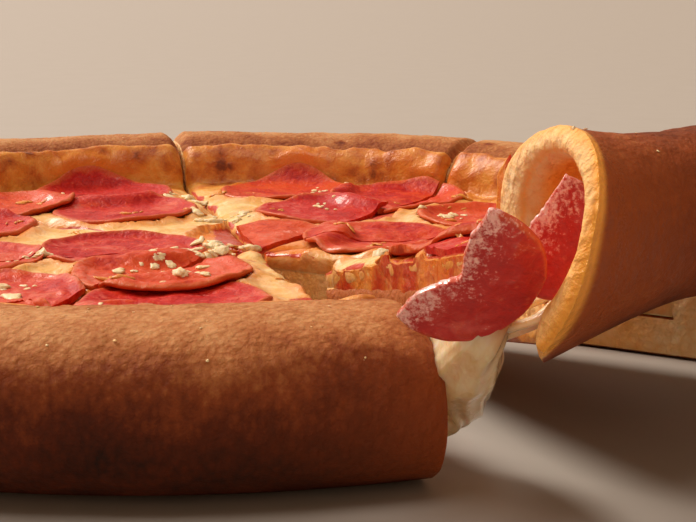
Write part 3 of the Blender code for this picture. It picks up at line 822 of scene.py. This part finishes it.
def hang_drips():
    """The cheese that ran down the lifted wedge's first cut as it was pulled out: a thin, ragged curtain."""
    first = wedge_edges(LIFTED)[0]
    azimuth = np.array((first,))
    width, height, droop = (value[0] for value in roll_size(LIFTED, azimuth)[:3])
    inset = np.linspace(33 * MM, reach(wedge_tip(LIFTED), azimuth)[0] - 5 * MM, 300)
    line = stood_up(LIFTED, azimuth, inset[None, :], np.zeros((1, len(inset))))[0]
    top = cheese_height(inset, width, height, droop, CHEESE_EDGE)
    top = top + lumps(line, LIFTED)[0] - 0.5 * MM
    runs = 0.9 + hilly(line, (0.4, 11, 91), (0.14, 4, 92))
    foot = np.clip(top * (1 - runs), 0.5 * MM, top - 1.5 * MM)
    share = np.concatenate([np.linspace(0, 1, 22), np.linspace(1, 0, 6)])
    front = np.arange(len(share)) < 22
    fall = top[:, None] + (foot - top)[:, None] * share[None, :]
    spots = line[:, None, :] + np.array((0, 0, 1)) * fall[..., None]
    folds = 0.9 + 0.45 * hills(spots * np.array((1, 1, 0.5)), 5 * MM, 93) + 0.15 * hills(spots, 1.8 * MM, 94)
    belly = 0.5 + 0.9 * share**2 * (share < 1)
    stand = np.where(front[None, :], folds * belly[None, :], -0.5) * MM
    ends = np.sin(np.pi * np.linspace(0, 1, len(inset)))[:, None] ** 0.2
    shell = Shell("toast", "grease", "sauce")
    grid = shell.add(
        spots - outward(first + 90) * (stand * ends)[..., None], toast=0.35 + 0.3 * hills(spots, 5 * MM, 96),
        grease=np.clip(0.75 + 0.4 * hills(spots, 6 * MM, 97), 0, 1),
        sauce=np.clip(0.5 + 0.6 * hills(spots, 8 * MM, 95), 0, 1),
    )
    shell.skin(grid)
    shell.faces += grid[[0, -1]].tolist()
    shell.piece("cheese_drips", cheese_finish, wedge_place(LIFTED), "melted_cheese", None, 60)


hang_drips()

# ---- The pepperoni on top ----
# Thin slices of a cured red sausage, 41 mm across, strewn by hand and baked on the cheese, so that they sag
# over what is under them, cup at the rim and give off orange oil. The wheel cuts them with the pizza.

PEPPERONI_THICKNESS = 1.5 * MM
PEPPERONI_CUP = 0.8 * MM
PEPPERONI_SINK = 0.9 * MM
PEPPERONI_SIDES = 12
PEPPERONI_TURN = 40
LEAST_SHARE = 0.22
MAP_PITCH = 0.5 * MM
MAP_HALF = 310

map_line = np.arange(-MAP_HALF, MAP_HALF + 1) * MAP_PITCH
map_spots = np.stack(np.meshgrid(map_line, map_line, 0, indexing="ij"), axis=-1)[:, :, 0]


def from_above(number, spots):
    """The height of the wedge's top, dough or cheese, at flat spots."""
    first, second = wedge_edges(number)
    tip = wedge_tip(number)
    away = spots - tip
    middle = (first + second) / 2
    azimuth = np.clip(middle + (azimuths(away) - middle + 180) % 360 - 180, first, second)
    steps = np.linspace(first, second, 200)
    width, height, droop = (np.interp(azimuth, steps, table) for table in roll_size(number, steps)[:3])
    inset = reach(tip, azimuth) - np.linalg.norm(away[..., :2], axis=-1)
    edge = cheese_edge(spots, width)
    extra, _ = lumps(spots, number)
    rise = cheese_height(np.maximum(inset, edge), width, height, droop, edge)
    rise = rise + extra * smooth_step(inset - edge, 0, 3 * MM)
    bare = roll_top((inset - ROLL_WIDTH / 2) / width, 0) * height - droop
    return np.where(inset < 0, 0, np.where(inset < edge, bare, rise))


def wedge_at(spots):
    """The numbers of the wedges that flat spots are on."""
    starts = np.array(CUT_AZIMUTHS) - CUT_AZIMUTHS[0]
    return np.searchsorted(starts, (azimuths(spots - CUT_MEETING) - CUT_AZIMUTHS[0]) % 360, side="right")


map_wedges = wedge_at(map_spots)
ground = np.zeros(map_wedges.shape)
for number in WEDGES:
    mine = map_wedges == number
    ground[mine] = from_above(number, map_spots[mine])
meat_top = np.full(ground.shape, -1.0)


def blurred(heights, spread):
    """A patch of heights smoothed over a spread, in steps of the map."""
    half = int(spread * 2.5)
    weights = np.exp(-((np.arange(-half, half + 1) / spread) ** 2) / 2)
    weights /= weights.sum()
    for axis in (0, 1):
        rows = np.pad(heights, [(half, half) if side == axis else (0, 0) for side in (0, 1)], mode="edge")
        size = heights.shape[axis]
        shifted = [rows.take(range(step, step + size), axis=axis) for step in range(len(weights))]
        heights = sum(weight * row for weight, row in zip(weights, shifted))
    return heights


def looked_up(heights, corner, spots):
    """Heights of a patch of the map at flat spots, between its points."""
    at = (spots[..., :2] - corner) / MAP_PITCH
    cell = np.clip(np.floor(at).astype(int), 0, np.array(heights.shape) - 2)
    share = at - cell
    i, j = cell[..., 0], cell[..., 1]
    u, v = share[..., 0], share[..., 1]
    near = heights[i, j] * (1 - u) + heights[i + 1, j] * u
    far = heights[i, j + 1] * (1 - u) + heights[i + 1, j + 1] * u
    return near * (1 - v) + far * v


def lay_pepperoni(index, centre):
    """A whole slice on what is under it: its fine mesh, and the map raised by it."""
    pitch = (0.72 if centre[1] < -20 * MM or centre[0] > 60 * MM else 1.0) * MM
    low, high = (np.searchsorted(map_line, centre + side * 27 * MM) for side in (-1, 1))
    window = (slice(low[0], high[0]), slice(low[1], high[1]))
    corner = map_line[low]
    away = map_spots[window][..., :2] - centre
    share = np.linalg.norm(away, axis=-1) / np.interp(azimuths(away) % 360, compass, edge_tables[index])
    way = np.stack([away[..., 0], away[..., 1], np.full(share.shape, index * 9 * MM)], axis=-1)
    curl = np.clip(0.35 + hills(way / np.maximum(share, 0.05)[..., None], 17 * MM, 41), -0.1, 1) * 1.5 * MM
    cup = PEPPERONI_CUP * share**3 + curl * smooth_step(share, 0.5, 1.05)
    below = ground[window]
    sheet = blurred(below, 5) - PEPPERONI_SINK + cup
    meat = meat_top[window]
    for _ in range(4):
        lack = np.clip(meat + 0.2 * MM - sheet, 0, None) * (share < 1.04)
        sheet = sheet + 1.4 * blurred(lack, 3.5)
    sheet = np.maximum(sheet, np.where(share < 1.04, meat + 0.12 * MM, 0))
    top = sheet + PEPPERONI_THICKNESS
    under = share <= 1
    meat_top[window] = np.where(under, top, meat)
    ground[window] = np.where(under, np.maximum(top, below), below)

    sides = int(2 * math.pi * PEPPERONI_RADIUS / (1.25 * pitch))
    around = np.linspace(0, 360, sides, endpoint=False)
    edge = pepperoni_edge(centre, around)
    shares = np.linspace(0, 0.94, int(PEPPERONI_RADIUS / pitch))
    shares = np.concatenate([shares, (0.955, 0.97, 0.983, 0.993, 1.0)])
    spots = np.zeros((len(shares), sides, 3))
    spots[..., :2] = centre
    spots += outward(around)[None, :, :] * (shares[:, None] * edge[None, :])[..., None]
    rounded = np.sqrt(1 - np.clip((shares - 0.94) / 0.06, 0, 1) ** 2)[:, None]
    lower = looked_up(sheet, corner, spots)
    wrinkles = hilly(spots, (0.36, 6.5, 42), (0.26, 3.2, 43), (0.1, 1.4, 44))
    upper = lower + PEPPERONI_THICKNESS * (0.42 + 0.58 * rounded) + wrinkles * MM * rounded
    lower = lower + PEPPERONI_THICKNESS * 0.42 * (1 - rounded)
    shell = Shell("rim", "age", "hung", "torn")
    age = (index * 0.618) % 1
    spots[..., 2] = upper
    # Painted highlight: pinkish-white patches in the colour, carried by the torn tone.
    painted_highlight_patches = 0.62 * smooth_step(hills(spots, 8 * MM, 45) + 0.4 * hills(spots, 3 * MM, 46), 0.4, 0.8)
    above = shell.add(spots, rim=shares[:, None], age=age, torn=painted_highlight_patches)
    above[0] = above[0, 0]
    fewer = np.unique(np.concatenate([np.arange(0, len(shares) - 4, 3), [len(shares) - 3]]))
    spots[..., 2] = lower
    beneath = shell.add(spots[fewer], rim=shares[fewer][:, None], age=age)
    beneath[0] = beneath[0, 0]
    shell.skin(np.concatenate([above, beneath[::-1]], axis=0))
    return shell


def clipped(outline, origin, away):
    """What is left of a flat outline on the near side of a line."""
    kept = []
    for spot, after in zip(outline, outline[1:] + outline[:1]):
        here, there = (spot - origin).dot(away), (after - origin).dot(away)
        if here <= 0:
            kept.append(spot)
        if here * there < 0:
            kept.append(spot.lerp(after, here / (here - there)))
    return kept


def area(outline):
    """The area inside a flat outline."""
    return abs(sum(spot.cross(after) for spot, after in zip(outline, outline[1:] + outline[:1]))) / 2


meat_finish = Finish(
    "Pepperoni", Specular_IOR_Level=0.2, Subsurface_Weight=0.2, Subsurface_Scale=1.6 * MM,
    Subsurface_Radius=(1.0, 0.12, 0.06), Coat_Roughness=0.13,
)
rim = meat_finish.tone("rim")
age = meat_finish.tone("age")
hung = meat_finish.tone("hung")
# The torn tone carries a painted highlight, pale pink in the colour.
torn = meat_finish.tone("torn")
mince = meat_finish.grain(2.6 * MM, 4.0, 0.6, None, 0.8)
fine_mince = meat_finish.grain(0.8 * MM, 3.0, 0.6)
fat = meat_finish.cells(1.9 * MM, 0.15)
cloud = meat_finish.grain(9 * MM, 3.0, 0.5)
red = meat_finish.ramp(mince * 0.6 + fine_mince * 0.4 + (cloud - 0.5) * 0.6, [
    (0.15, (0.27, 0.004, 0.005)), (0.42, (0.46, 0.009, 0.007)), (0.62, (0.60, 0.020, 0.009)),
    (0.85, (0.68, 0.050, 0.012)),
])
fatty = (0.26 - fat).between(0.0, 0.16) * fine_mince.between(0.4, 0.6)
marbled = meat_finish.mix(fatty * 0.5, red, (0.66, 0.14, 0.07))
stained = (cloud + age * 0.5 + (mince - 0.5) * 0.7).between(0.55, 1.0)
oiled = meat_finish.mix(stained * 0.6, marbled, (0.72, 0.11, 0.02))
rimmed = meat_finish.mix((rim + (mince - 0.5) * 0.12).between(0.90, 0.985) * 0.7, oiled, (0.60, 0.13, 0.03))
# Painted highlight: the slices that hang from the roll are a paler, pinker red.
painted_lighter_hung_red = meat_finish.mix(hung * 0.28, rimmed, (0.74, 0.09, 0.085))
# Painted highlight: the colour turns a mottled pinkish white where the torn tone is high.
highlight_speckle = meat_finish.grain(0.45 * MM, 2.0, 0.6)
painted_highlight = torn * 0.85 + (mince - 0.5) * 1.5 + (fine_mince - 0.5) * 1.3 + (highlight_speckle - 0.5) * 1.1
painted_highlight = painted_highlight.between(0.48, 1.12)
soaked = meat_finish.mix(painted_highlight * 0.95, painted_lighter_hung_red, (1.0, 0.60, 0.55))
sheen = painted_highlight * 0.4 + (cloud * 0.55 + mince * 0.45).between(0.50, 0.58)
meat_finish.show(
    Base_Color=soaked,
    Roughness=0.5 + (fine_mince - 0.5) * 0.3 - sheen * 0.15,
    Coat_Weight=hung * (0.25 + sheen * 0.5) + sheen * 0.2,
    Normal=meat_finish.bumps(mince * 1.6 + fine_mince * 0.6 + fat * 0.5, 0.45 * MM, 0.6),
)

counts = dict.fromkeys(WEDGES, 0)
for index, centre in enumerate(PEPPERONI_PLACES):
    shell = lay_pepperoni(index, centre)
    corners = 360 * np.arange(PEPPERONI_SIDES) / PEPPERONI_SIDES + PEPPERONI_TURN * index
    reached = outward(corners)[:, :2] * pepperoni_edge(centre, corners)[:, None] + centre
    outline = [Vector(spot) for spot in reached]
    for number in WEDGES:
        tip = wedge_tip(number)
        kept = outline
        aways = [Vector(outward(edge + 90)) * side for edge, side in zip(wedge_edges(number), (-1, 1))]
        for away in aways:
            kept = clipped(kept, Vector(tip[:2]), away.xy) if len(kept) > 2 else []
        if len(kept) < 3 or area(kept) < LEAST_SHARE * area(outline):
            continue
        counts[number] += 1
        name = f"{number}_pepperoni_{counts[number]}"
        shell.piece(
            "wedge_" + name, meat_finish, wedge_place(number), "pepperoni", "slice_" + name, 65,
            [(tip, away) for away in aways],
        )

# ---- The cheese in the roll and the pull of it ----
# A stick of soft mozzarella baked inside the roll. Where the lifted wedge was drawn away, the core of the
# front wedge's roll has stretched into a thick, wet pull that thins out towards the open end of the roll.

FILLING_SETBACK = 14 * MM
PULL_STATIONS = np.array((
    (39.8, -132.2, 13.2, 5.9), (39.6, -140.4, 21.2, 5.4), (40.6, -147.4, 27.4, 4.6), (43.4, -150, 33.5, 2.6),
    (49, -148.5, 35.4, 1.1),
)) * MM
# Where each thread leaves the pull and which of the mouth's lowest points it meets, its thickness and slack.
PULL_THREADS = ((60, 0, 2.2, 1.2), (66, 3, 1.7, 0.8), (74, 6, 1.2, 0.5))

pull_finish = Finish(
    "Stretched cheese", Specular_IOR_Level=0.5, Subsurface_Weight=0.55, Subsurface_Scale=5 * MM,
    Subsurface_Radius=(1.0, 0.6, 0.28), Coat_Roughness=0.08,
)
stretch = pull_finish.tone("stretch")
warm = pull_finish.tone("warm")
threads = pull_finish.grain(1.4 * MM, 3.0, 0.55, pull_finish.place((1, 1, 0.25)), 0.3)
milky = pull_finish.grain(5 * MM, 3.0, 0.5)
cream = pull_finish.ramp(milky * 0.6 + threads * 0.4, [
    (0.3, (0.74, 0.46, 0.20)), (0.5, (0.88, 0.68, 0.41)), (0.7, (0.96, 0.86, 0.66)),
])
# The tint tone carries painted shade on the pull, and an even tint on the core and threads.
tinted_and_shaded = pull_finish.mix((warm + (milky - 0.5) * 0.9).between(-0.1, 1.1), cream, (0.56, 0.20, 0.045))
pull_finish.show(
    Base_Color=tinted_and_shaded,
    Roughness=0.26 + (milky - 0.5) * 0.2 + stretch * 0.05,
    Coat_Weight=0.75 - (milky - 0.5) * 0.5,
    Normal=pull_finish.bumps(threads + milky * 1.5, 0.5 * MM, 0.45),
)


def fill_roll(number):
    """The core of cheese in a wedge's roll, full to the dough and bulging a little at its cut ends."""
    first, second = wedge_edges(number)
    start = first + math.degrees(FILLING_SETBACK / PIZZA_RADIUS) if number == LIFTED else first
    shell = Shell("stretch", "warm")
    rows = shell.add(bore_rings(number, np.linspace(start, second, 28), 0.15 * MM), warm=0.4)
    shell.skin(rows)
    bulge = 2.2 if number == LIFTED else 0.9

    def relief(spots, gap):
        rough = bulge + hilly(spots, (0.8, 4, 51), (0.3, 1.5, 52))
        return rough * MM * (1 - fading(gap, 1.8 * MM))

    def tinge(spots, gap):
        return 0.25 + 0.2 * hills(spots, 4 * MM, 53)

    for bound, side, outline in ((start, -1, rows[0]), (second, 1, rows[-1])):
        cut_face(shell, number, bound, side, [outline], 0.8 * MM, relief, warm=tinge)
    node = f"slice_{number}_filling"
    shell.piece(f"wedge_{number}_core", pull_finish, wedge_place(number), "stretched_cheese", node)


for number in WEDGES:
    fill_roll(number)


def smooth_line(keys, count):
    """A Catmull-Rom line through rows of values."""
    padded = np.concatenate([2 * keys[:1] - keys[1:2], keys, 2 * keys[-1:] - keys[-2:-1]])
    at = np.linspace(0, len(keys) - 1, count)
    cell = np.minimum(at.astype(int), len(keys) - 2)
    share = (at - cell)[:, None]
    one, two, three, four = (padded[cell + step] for step in range(4))
    curve = (2 * one - 5 * two + 4 * three - four) * share**2 + (3 * two - one - 3 * three + four) * share**3
    return 0.5 * (2 * two + (three - one) * share + curve)


def tube(shell, line, across, up, ridges, layer, points, **tones):
    """A tube along a line with its two half widths, ridged along its length."""
    ahead = np.gradient(line, axis=0)
    ahead /= np.linalg.norm(ahead, axis=1)[:, None]
    above = np.array((0, 0, 1)) - ahead * ahead[:, 2:]
    above /= np.linalg.norm(above, axis=1)[:, None]
    beside = np.cross(ahead, above)
    turn = np.linspace(0, 2 * math.pi, points, endpoint=False)
    along = np.linspace(0, 1, len(line))
    drawn = np.broadcast_arrays(np.cos(turn) * 1.7, np.sin(turn) * 1.7, along[:, None] * 2.2)
    drawn = np.stack(drawn, axis=-1)
    size = 1 + ridges * (0.7 * hills(drawn, 1.0, layer) + 0.5 * hills(drawn * (2.4, 2.4, 1), 1.0, layer + 1))
    way = beside[:, None, :] * np.cos(turn)[None, :, None] * across[:, None, None]
    way = way + above[:, None, :] * np.sin(turn)[None, :, None] * up[:, None, None]
    grid = shell.add(line[:, None, :] + way * size[..., None], **tones)
    shell.skin(grid)
    shell.faces += grid[[0, -1]].tolist()


bore_end = bore_rings(FRONT, np.array((wedge_edges(FRONT)[1],)), 0)[0].mean(axis=0)
line = smooth_line(np.concatenate([[[*bore_end, 8.3 * MM]], PULL_STATIONS]), 110)
pull = Shell("stretch", "warm")
along = np.linspace(0, 1, len(line))
swell = 1 + 0.22 * np.exp(-(((along - 0.42) / 0.09) ** 2)) - 0.08 * np.exp(-(((along - 0.2) / 0.08) ** 2))
girth = line[:, 3] * swell
# Painted shade: the pull is a darker amber on one side and towards both ends.
painted_shade_amber = fading(along, 0.16)[:, None] * 0.8 + 1.1 * smooth_step(along, 0.5, 0.75)[:, None] - 0.15
painted_shade_amber = painted_shade_amber + 0.35 * np.cos(np.linspace(0, 2 * math.pi, 72, endpoint=False) - 2.6)[None, :]
tube(pull, line[:, :3], girth * 0.92, girth, 0.22, 61, 72, warm=painted_shade_amber, stretch=along[:, None])
mouth = bore_rings(LIFTED, np.array((wedge_edges(LIFTED)[0] + 1.2,)), 0.3 * MM)[0]
mouth = moved(mouth, LIFTED)
lowest = np.argsort(mouth[:, 2])
for layer, (leaves, reaches, thick, slack) in enumerate(PULL_THREADS):
    start, end = line[leaves, :3], mouth[lowest[reaches]]
    ends = np.stack([start, (start + end) / 2, end])
    ends[1, 2] -= slack * MM
    thread = smooth_line(np.concatenate([ends, np.full((3, 1), thick * MM)], axis=1), 40)
    thin = 1 - 0.55 * np.sin(np.pi * np.linspace(0, 1, 40))
    girth = thread[:, 3] * thin
    tube(pull, thread[:, :3], thread[:, 3] * thin * 1.6, girth, 0.15, 63 + 2 * layer, 24, warm=0.3)
middle = Matrix.Translation(PIZZA_MIDDLE)
pull.piece("cheese_pull", pull_finish, middle, "stretched_cheese", "stretched_cheese")

# ---- Loose curds, shreds and flour ----
# Bits of cheese that were strewn last: small white curds that have only softened, on and between the slices
# of pepperoni, shreds that have browned, and a dust of semolina that was left on the roll.


def strewn(name, finish, slot, fineness, count, heaped, sizes, reached, seed, long=1.0, **tones):
    """Small uneven bits in heaps on the pizza, as one piece, each sunk a little into what is under it."""
    chance = np.random.RandomState(seed)
    ball = bmesh.new()
    bmesh.ops.create_icosphere(ball, subdivisions=fineness, radius=1)
    ways = np.array([vertex.co for vertex in ball.verts])
    faces = np.array([[vertex.index for vertex in face.verts] for face in ball.faces])
    ball.free()
    shell = Shell("toast", "grease", "sauce", "curd", "browning", "crumb")
    for index in range(count):
        if index % heaped == 0:
            heap = outward(chance.uniform(0, 360)) * math.sqrt(chance.uniform(*reached)) * PIZZA_RADIUS
        spot = heap + outward(chance.uniform(0, 360)) * chance.uniform(0, 1) * (heaped - 1) * 1.1 * MM
        radius = sizes[0] + (sizes[1] - sizes[0]) * chance.uniform(0, 1) ** 2.5
        turn, squash = chance.uniform(0, math.pi), chance.uniform(0.28, 0.5)
        stretched = ways * np.array((long, 1 / math.sqrt(long), squash))
        spun = stretched @ np.array(Matrix.Rotation(turn, 3, "Z"))
        apart = spun + (index + 1) * 7
        bit = spun * (1 + 0.45 * hills(apart, 1.0, seed + 1) + 0.45 * hills(apart, 0.4, seed + 2))[:, None]
        bit = bit * radius + spot
        under = looked_up(ground, map_line[[0, 0]], bit)
        bit[:, 2] += 0.75 * under + 0.25 * under.mean() + 0.06 * radius
        fresh = shell.add(moved(bit, int(wedge_at(spot))), **tones)
        shell.faces += fresh[faces].tolist()
    shell.piece(name, finish, Matrix.Translation(PIZZA_MIDDLE), slot)


strewn(
    "white_curds", cheese_finish, "melted_cheese", 3, 240, 8, (0.5 * MM, 2.2 * MM), (0.0, 0.5), 101, 1.2,
    curd=1.0,
)
strewn(
    "browned_shreds", cheese_finish, "melted_cheese", 2, 200, 4, (0.4 * MM, 1.3 * MM), (0.0, 0.5), 102, 2.2,
    toast=0.4, grease=0.6,
)
strewn(
    "semolina", crust_finish, "baked_dough", 1, 420, 1, (0.12 * MM, 0.4 * MM), (0.66, 0.97), 103, crumb=1.0,
)

# ---- The pepperoni that hangs out of the roll ----
# Two slices of pepperoni that were baked inside the roll with its cheese. As the wedge was pulled they were
# drawn out at its open end: one lies curled over the cheese and the crust, the other stands in the opening.

CURLED_THICKNESS = 1.6 * MM
# Each has its radius, its middle in mm, its turn (degrees, XYZ), how far from its middle the cut runs, the
# curl's radius (the sign is the side it curls to) and the turn of the curl's axis in the slice.
DRAPED_SLICE = (13, (35.9, -156.3, 38.4), (-57.7, 31.4, 3.6), 3.2, -28, 74)
MOUTH_SLICE = (9.6, (50.8, -151.9, 42.8), (90, 34.6, -26.7), 4, 40, 90)


def curl_pepperoni(name, node, slice_of, bitten, layer):
    """A slice with one side torn off, hollowed by a share, and bent round an axis in it."""
    radius, middle, turns, cut, bend, axis_azimuth = slice_of
    radius, cut, bend = radius * MM, cut * MM, 1 / (bend * MM)
    around = np.linspace(0, 2 * math.pi, 160, endpoint=False)
    ways = np.stack([np.cos(around), np.sin(around), 0 * around], axis=-1)
    centre = np.array(((radius - cut) / 2, 0, 0))
    along = ways @ centre
    to_rim = np.sqrt(along**2 + radius**2 - centre @ centre) - along
    to_cut = np.where(ways[:, 0] < -1e-6, (centre[0] + cut) / np.maximum(-ways[:, 0], 1e-6), 1)
    torn = to_cut < to_rim
    ragged = 1 + hilly(ways * radius, (0.05, 2.6, layer), (0.05, 1.1, layer + 1))
    bite = 1 - bitten * np.abs(ways[:, 0]) ** 6
    edge = np.where(torn, to_cut * ragged * bite, to_rim * (1 + 0.012 * hills(ways * radius, 4 * MM, layer)))
    shares = np.concatenate([np.linspace(0, 0.93, 34), (0.95, 0.97, 0.985, 0.995, 1.0)])
    flat = centre + ways[None, :, :] * (shares[:, None] * edge[None, :])[..., None]
    axis = outward(axis_azimuth + 90)
    across = outward(axis_azimuth + 180)
    over = (flat @ across) * bend
    up = np.array((0, 0, 1))
    bent = axis * (flat @ axis)[..., None] + across * (np.sin(over) / bend)[..., None]
    bent = bent - up * ((1 - np.cos(over)) / bend)[..., None]
    normal = across * np.sin(over)[..., None] + up * np.cos(over)[..., None]
    waves = hilly(flat, (0.35, 6, layer + 2), (0.16, 2.4, layer + 3))
    bent = bent + normal * (waves * MM)[..., None]
    half = CURLED_THICKNESS / 2 * np.sqrt(1 - np.clip((shares - 0.93) / 0.07, 0, 1) ** 2)[:, None, None]
    shell = Shell("rim", "age", "hung", "torn")
    to_torn = flat[..., 0] + cut + 2.2 * MM * hills(flat, 5 * MM, layer + 5)
    # Painted highlight: a pale mottled band along the torn edge, fainter over the rest of the slice.
    painted_highlight_band = 0.15 + 0.85 * np.exp(-((np.clip(to_torn, 0, None) / (5.4 * MM)) ** 2))
    pits = 0.07 * hills(flat, 0.9 * MM, layer + 4)
    tones = dict(rim=shares[:, None], age=0.1, hung=1.0, torn=painted_highlight_band)
    front = shell.add(bent + normal * (half + pits[..., None] * MM), **tones)
    front[0] = front[0, 0]
    back = shell.add(bent - normal * half, **tones)
    back[0] = back[0, 0]
    back[-1] = front[-1]
    shell.skin(np.concatenate([front, back[::-1][1:]], axis=0))
    turn = Matrix.Translation(Vector(middle) * MM)
    for side, angle in zip("ZYX", reversed(turns)):
        turn = turn @ Matrix.Rotation(math.radians(angle), 4, side)
    shell.piece(name, meat_finish, Matrix.Translation(PIZZA_MIDDLE) @ turn, "pepperoni", node)


curl_pepperoni("draped_slice", "draped_pepperoni", DRAPED_SLICE, 0.42, 71)
curl_pepperoni("mouth_slice", "mouth_pepperoni", MOUTH_SLICE, 0.0, 81)

# ---- The camera, the light and the floor ----
# The pizza is looked at from a little above the table, close to its front edge. A broad lamp stands behind it
# to the left, with weaker ones above, behind and in front, over a plain pale floor.

EYE = Vector((0.00014, -0.35306, 0.0816))
EYE_TURN = 0.094
EYE_DIP = 0.193
EYE_LENS = 76.47

camera = bpy.data.objects.new("Camera", bpy.data.cameras.new("Camera"))
bpy.context.scene.collection.objects.link(camera)
camera.location = EYE
level_share = math.cos(EYE_DIP)
ahead = Vector((math.sin(EYE_TURN) * level_share, math.cos(EYE_TURN) * level_share, -math.sin(EYE_DIP)))
camera.rotation_euler = ahead.to_track_quat("-Z", "Y").to_euler()
camera.data.sensor_width = 36
camera.data.lens = EYE_LENS
camera.data.clip_start = 0.01
bpy.context.scene.camera = camera
bpy.context.scene.view_settings.view_transform = "Standard"


def lamp(name, towards, softness, strength, colour):
    """A broad soft lamp, far off in a direction."""
    light = bpy.data.lights.new(name, "SUN")
    light.angle = softness
    light.energy = strength
    light.color = colour
    item = bpy.data.objects.new(name, light)
    bpy.context.scene.collection.objects.link(item)
    item.rotation_euler = Vector(towards).to_track_quat("Z", "Y").to_euler()


lamp("Key", (-0.55, 0.5, 0.67), 0.42, 3.5, (1.0, 0.92, 0.82))
lamp("Top", (-0.05, -0.2, 1.0), 0.5, 0.9, (1.0, 0.93, 0.86))
lamp("Back", (-0.1, 0.85, 0.45), 0.7, 0.25, (1.0, 0.85, 0.76))
lamp("Front", (-0.35, -0.8, 0.3), 0.8, 0.3, (1.0, 0.74, 0.52))

world = bpy.data.worlds.new("Studio")
bpy.context.scene.world = world
world.use_nodes = True
world.node_tree.nodes["Background"].inputs["Color"].default_value = (1.0, 0.66, 0.42, 1)
world.node_tree.nodes["Background"].inputs["Strength"].default_value = 0.26

floor_finish = Finish("Pale floor", Roughness=0.6)
mottle = floor_finish.grain(0.02, 3.0)
floor_finish.show(Base_Color=floor_finish.mix(mottle, (0.40, 0.355, 0.31), (0.43, 0.385, 0.34)))
floor_mesh = bmesh.new()
bmesh.ops.create_circle(floor_mesh, cap_ends=True, segments=128, radius=9)
floor_data = bpy.data.meshes.new("Floor")
floor_mesh.to_mesh(floor_data)
floor_mesh.free()
floor = bpy.data.objects.new("Floor", floor_data)
bpy.context.scene.collection.objects.link(floor)
floor.location = (0, 0, -0.0005)
floor_data.materials.append(floor_finish.material)
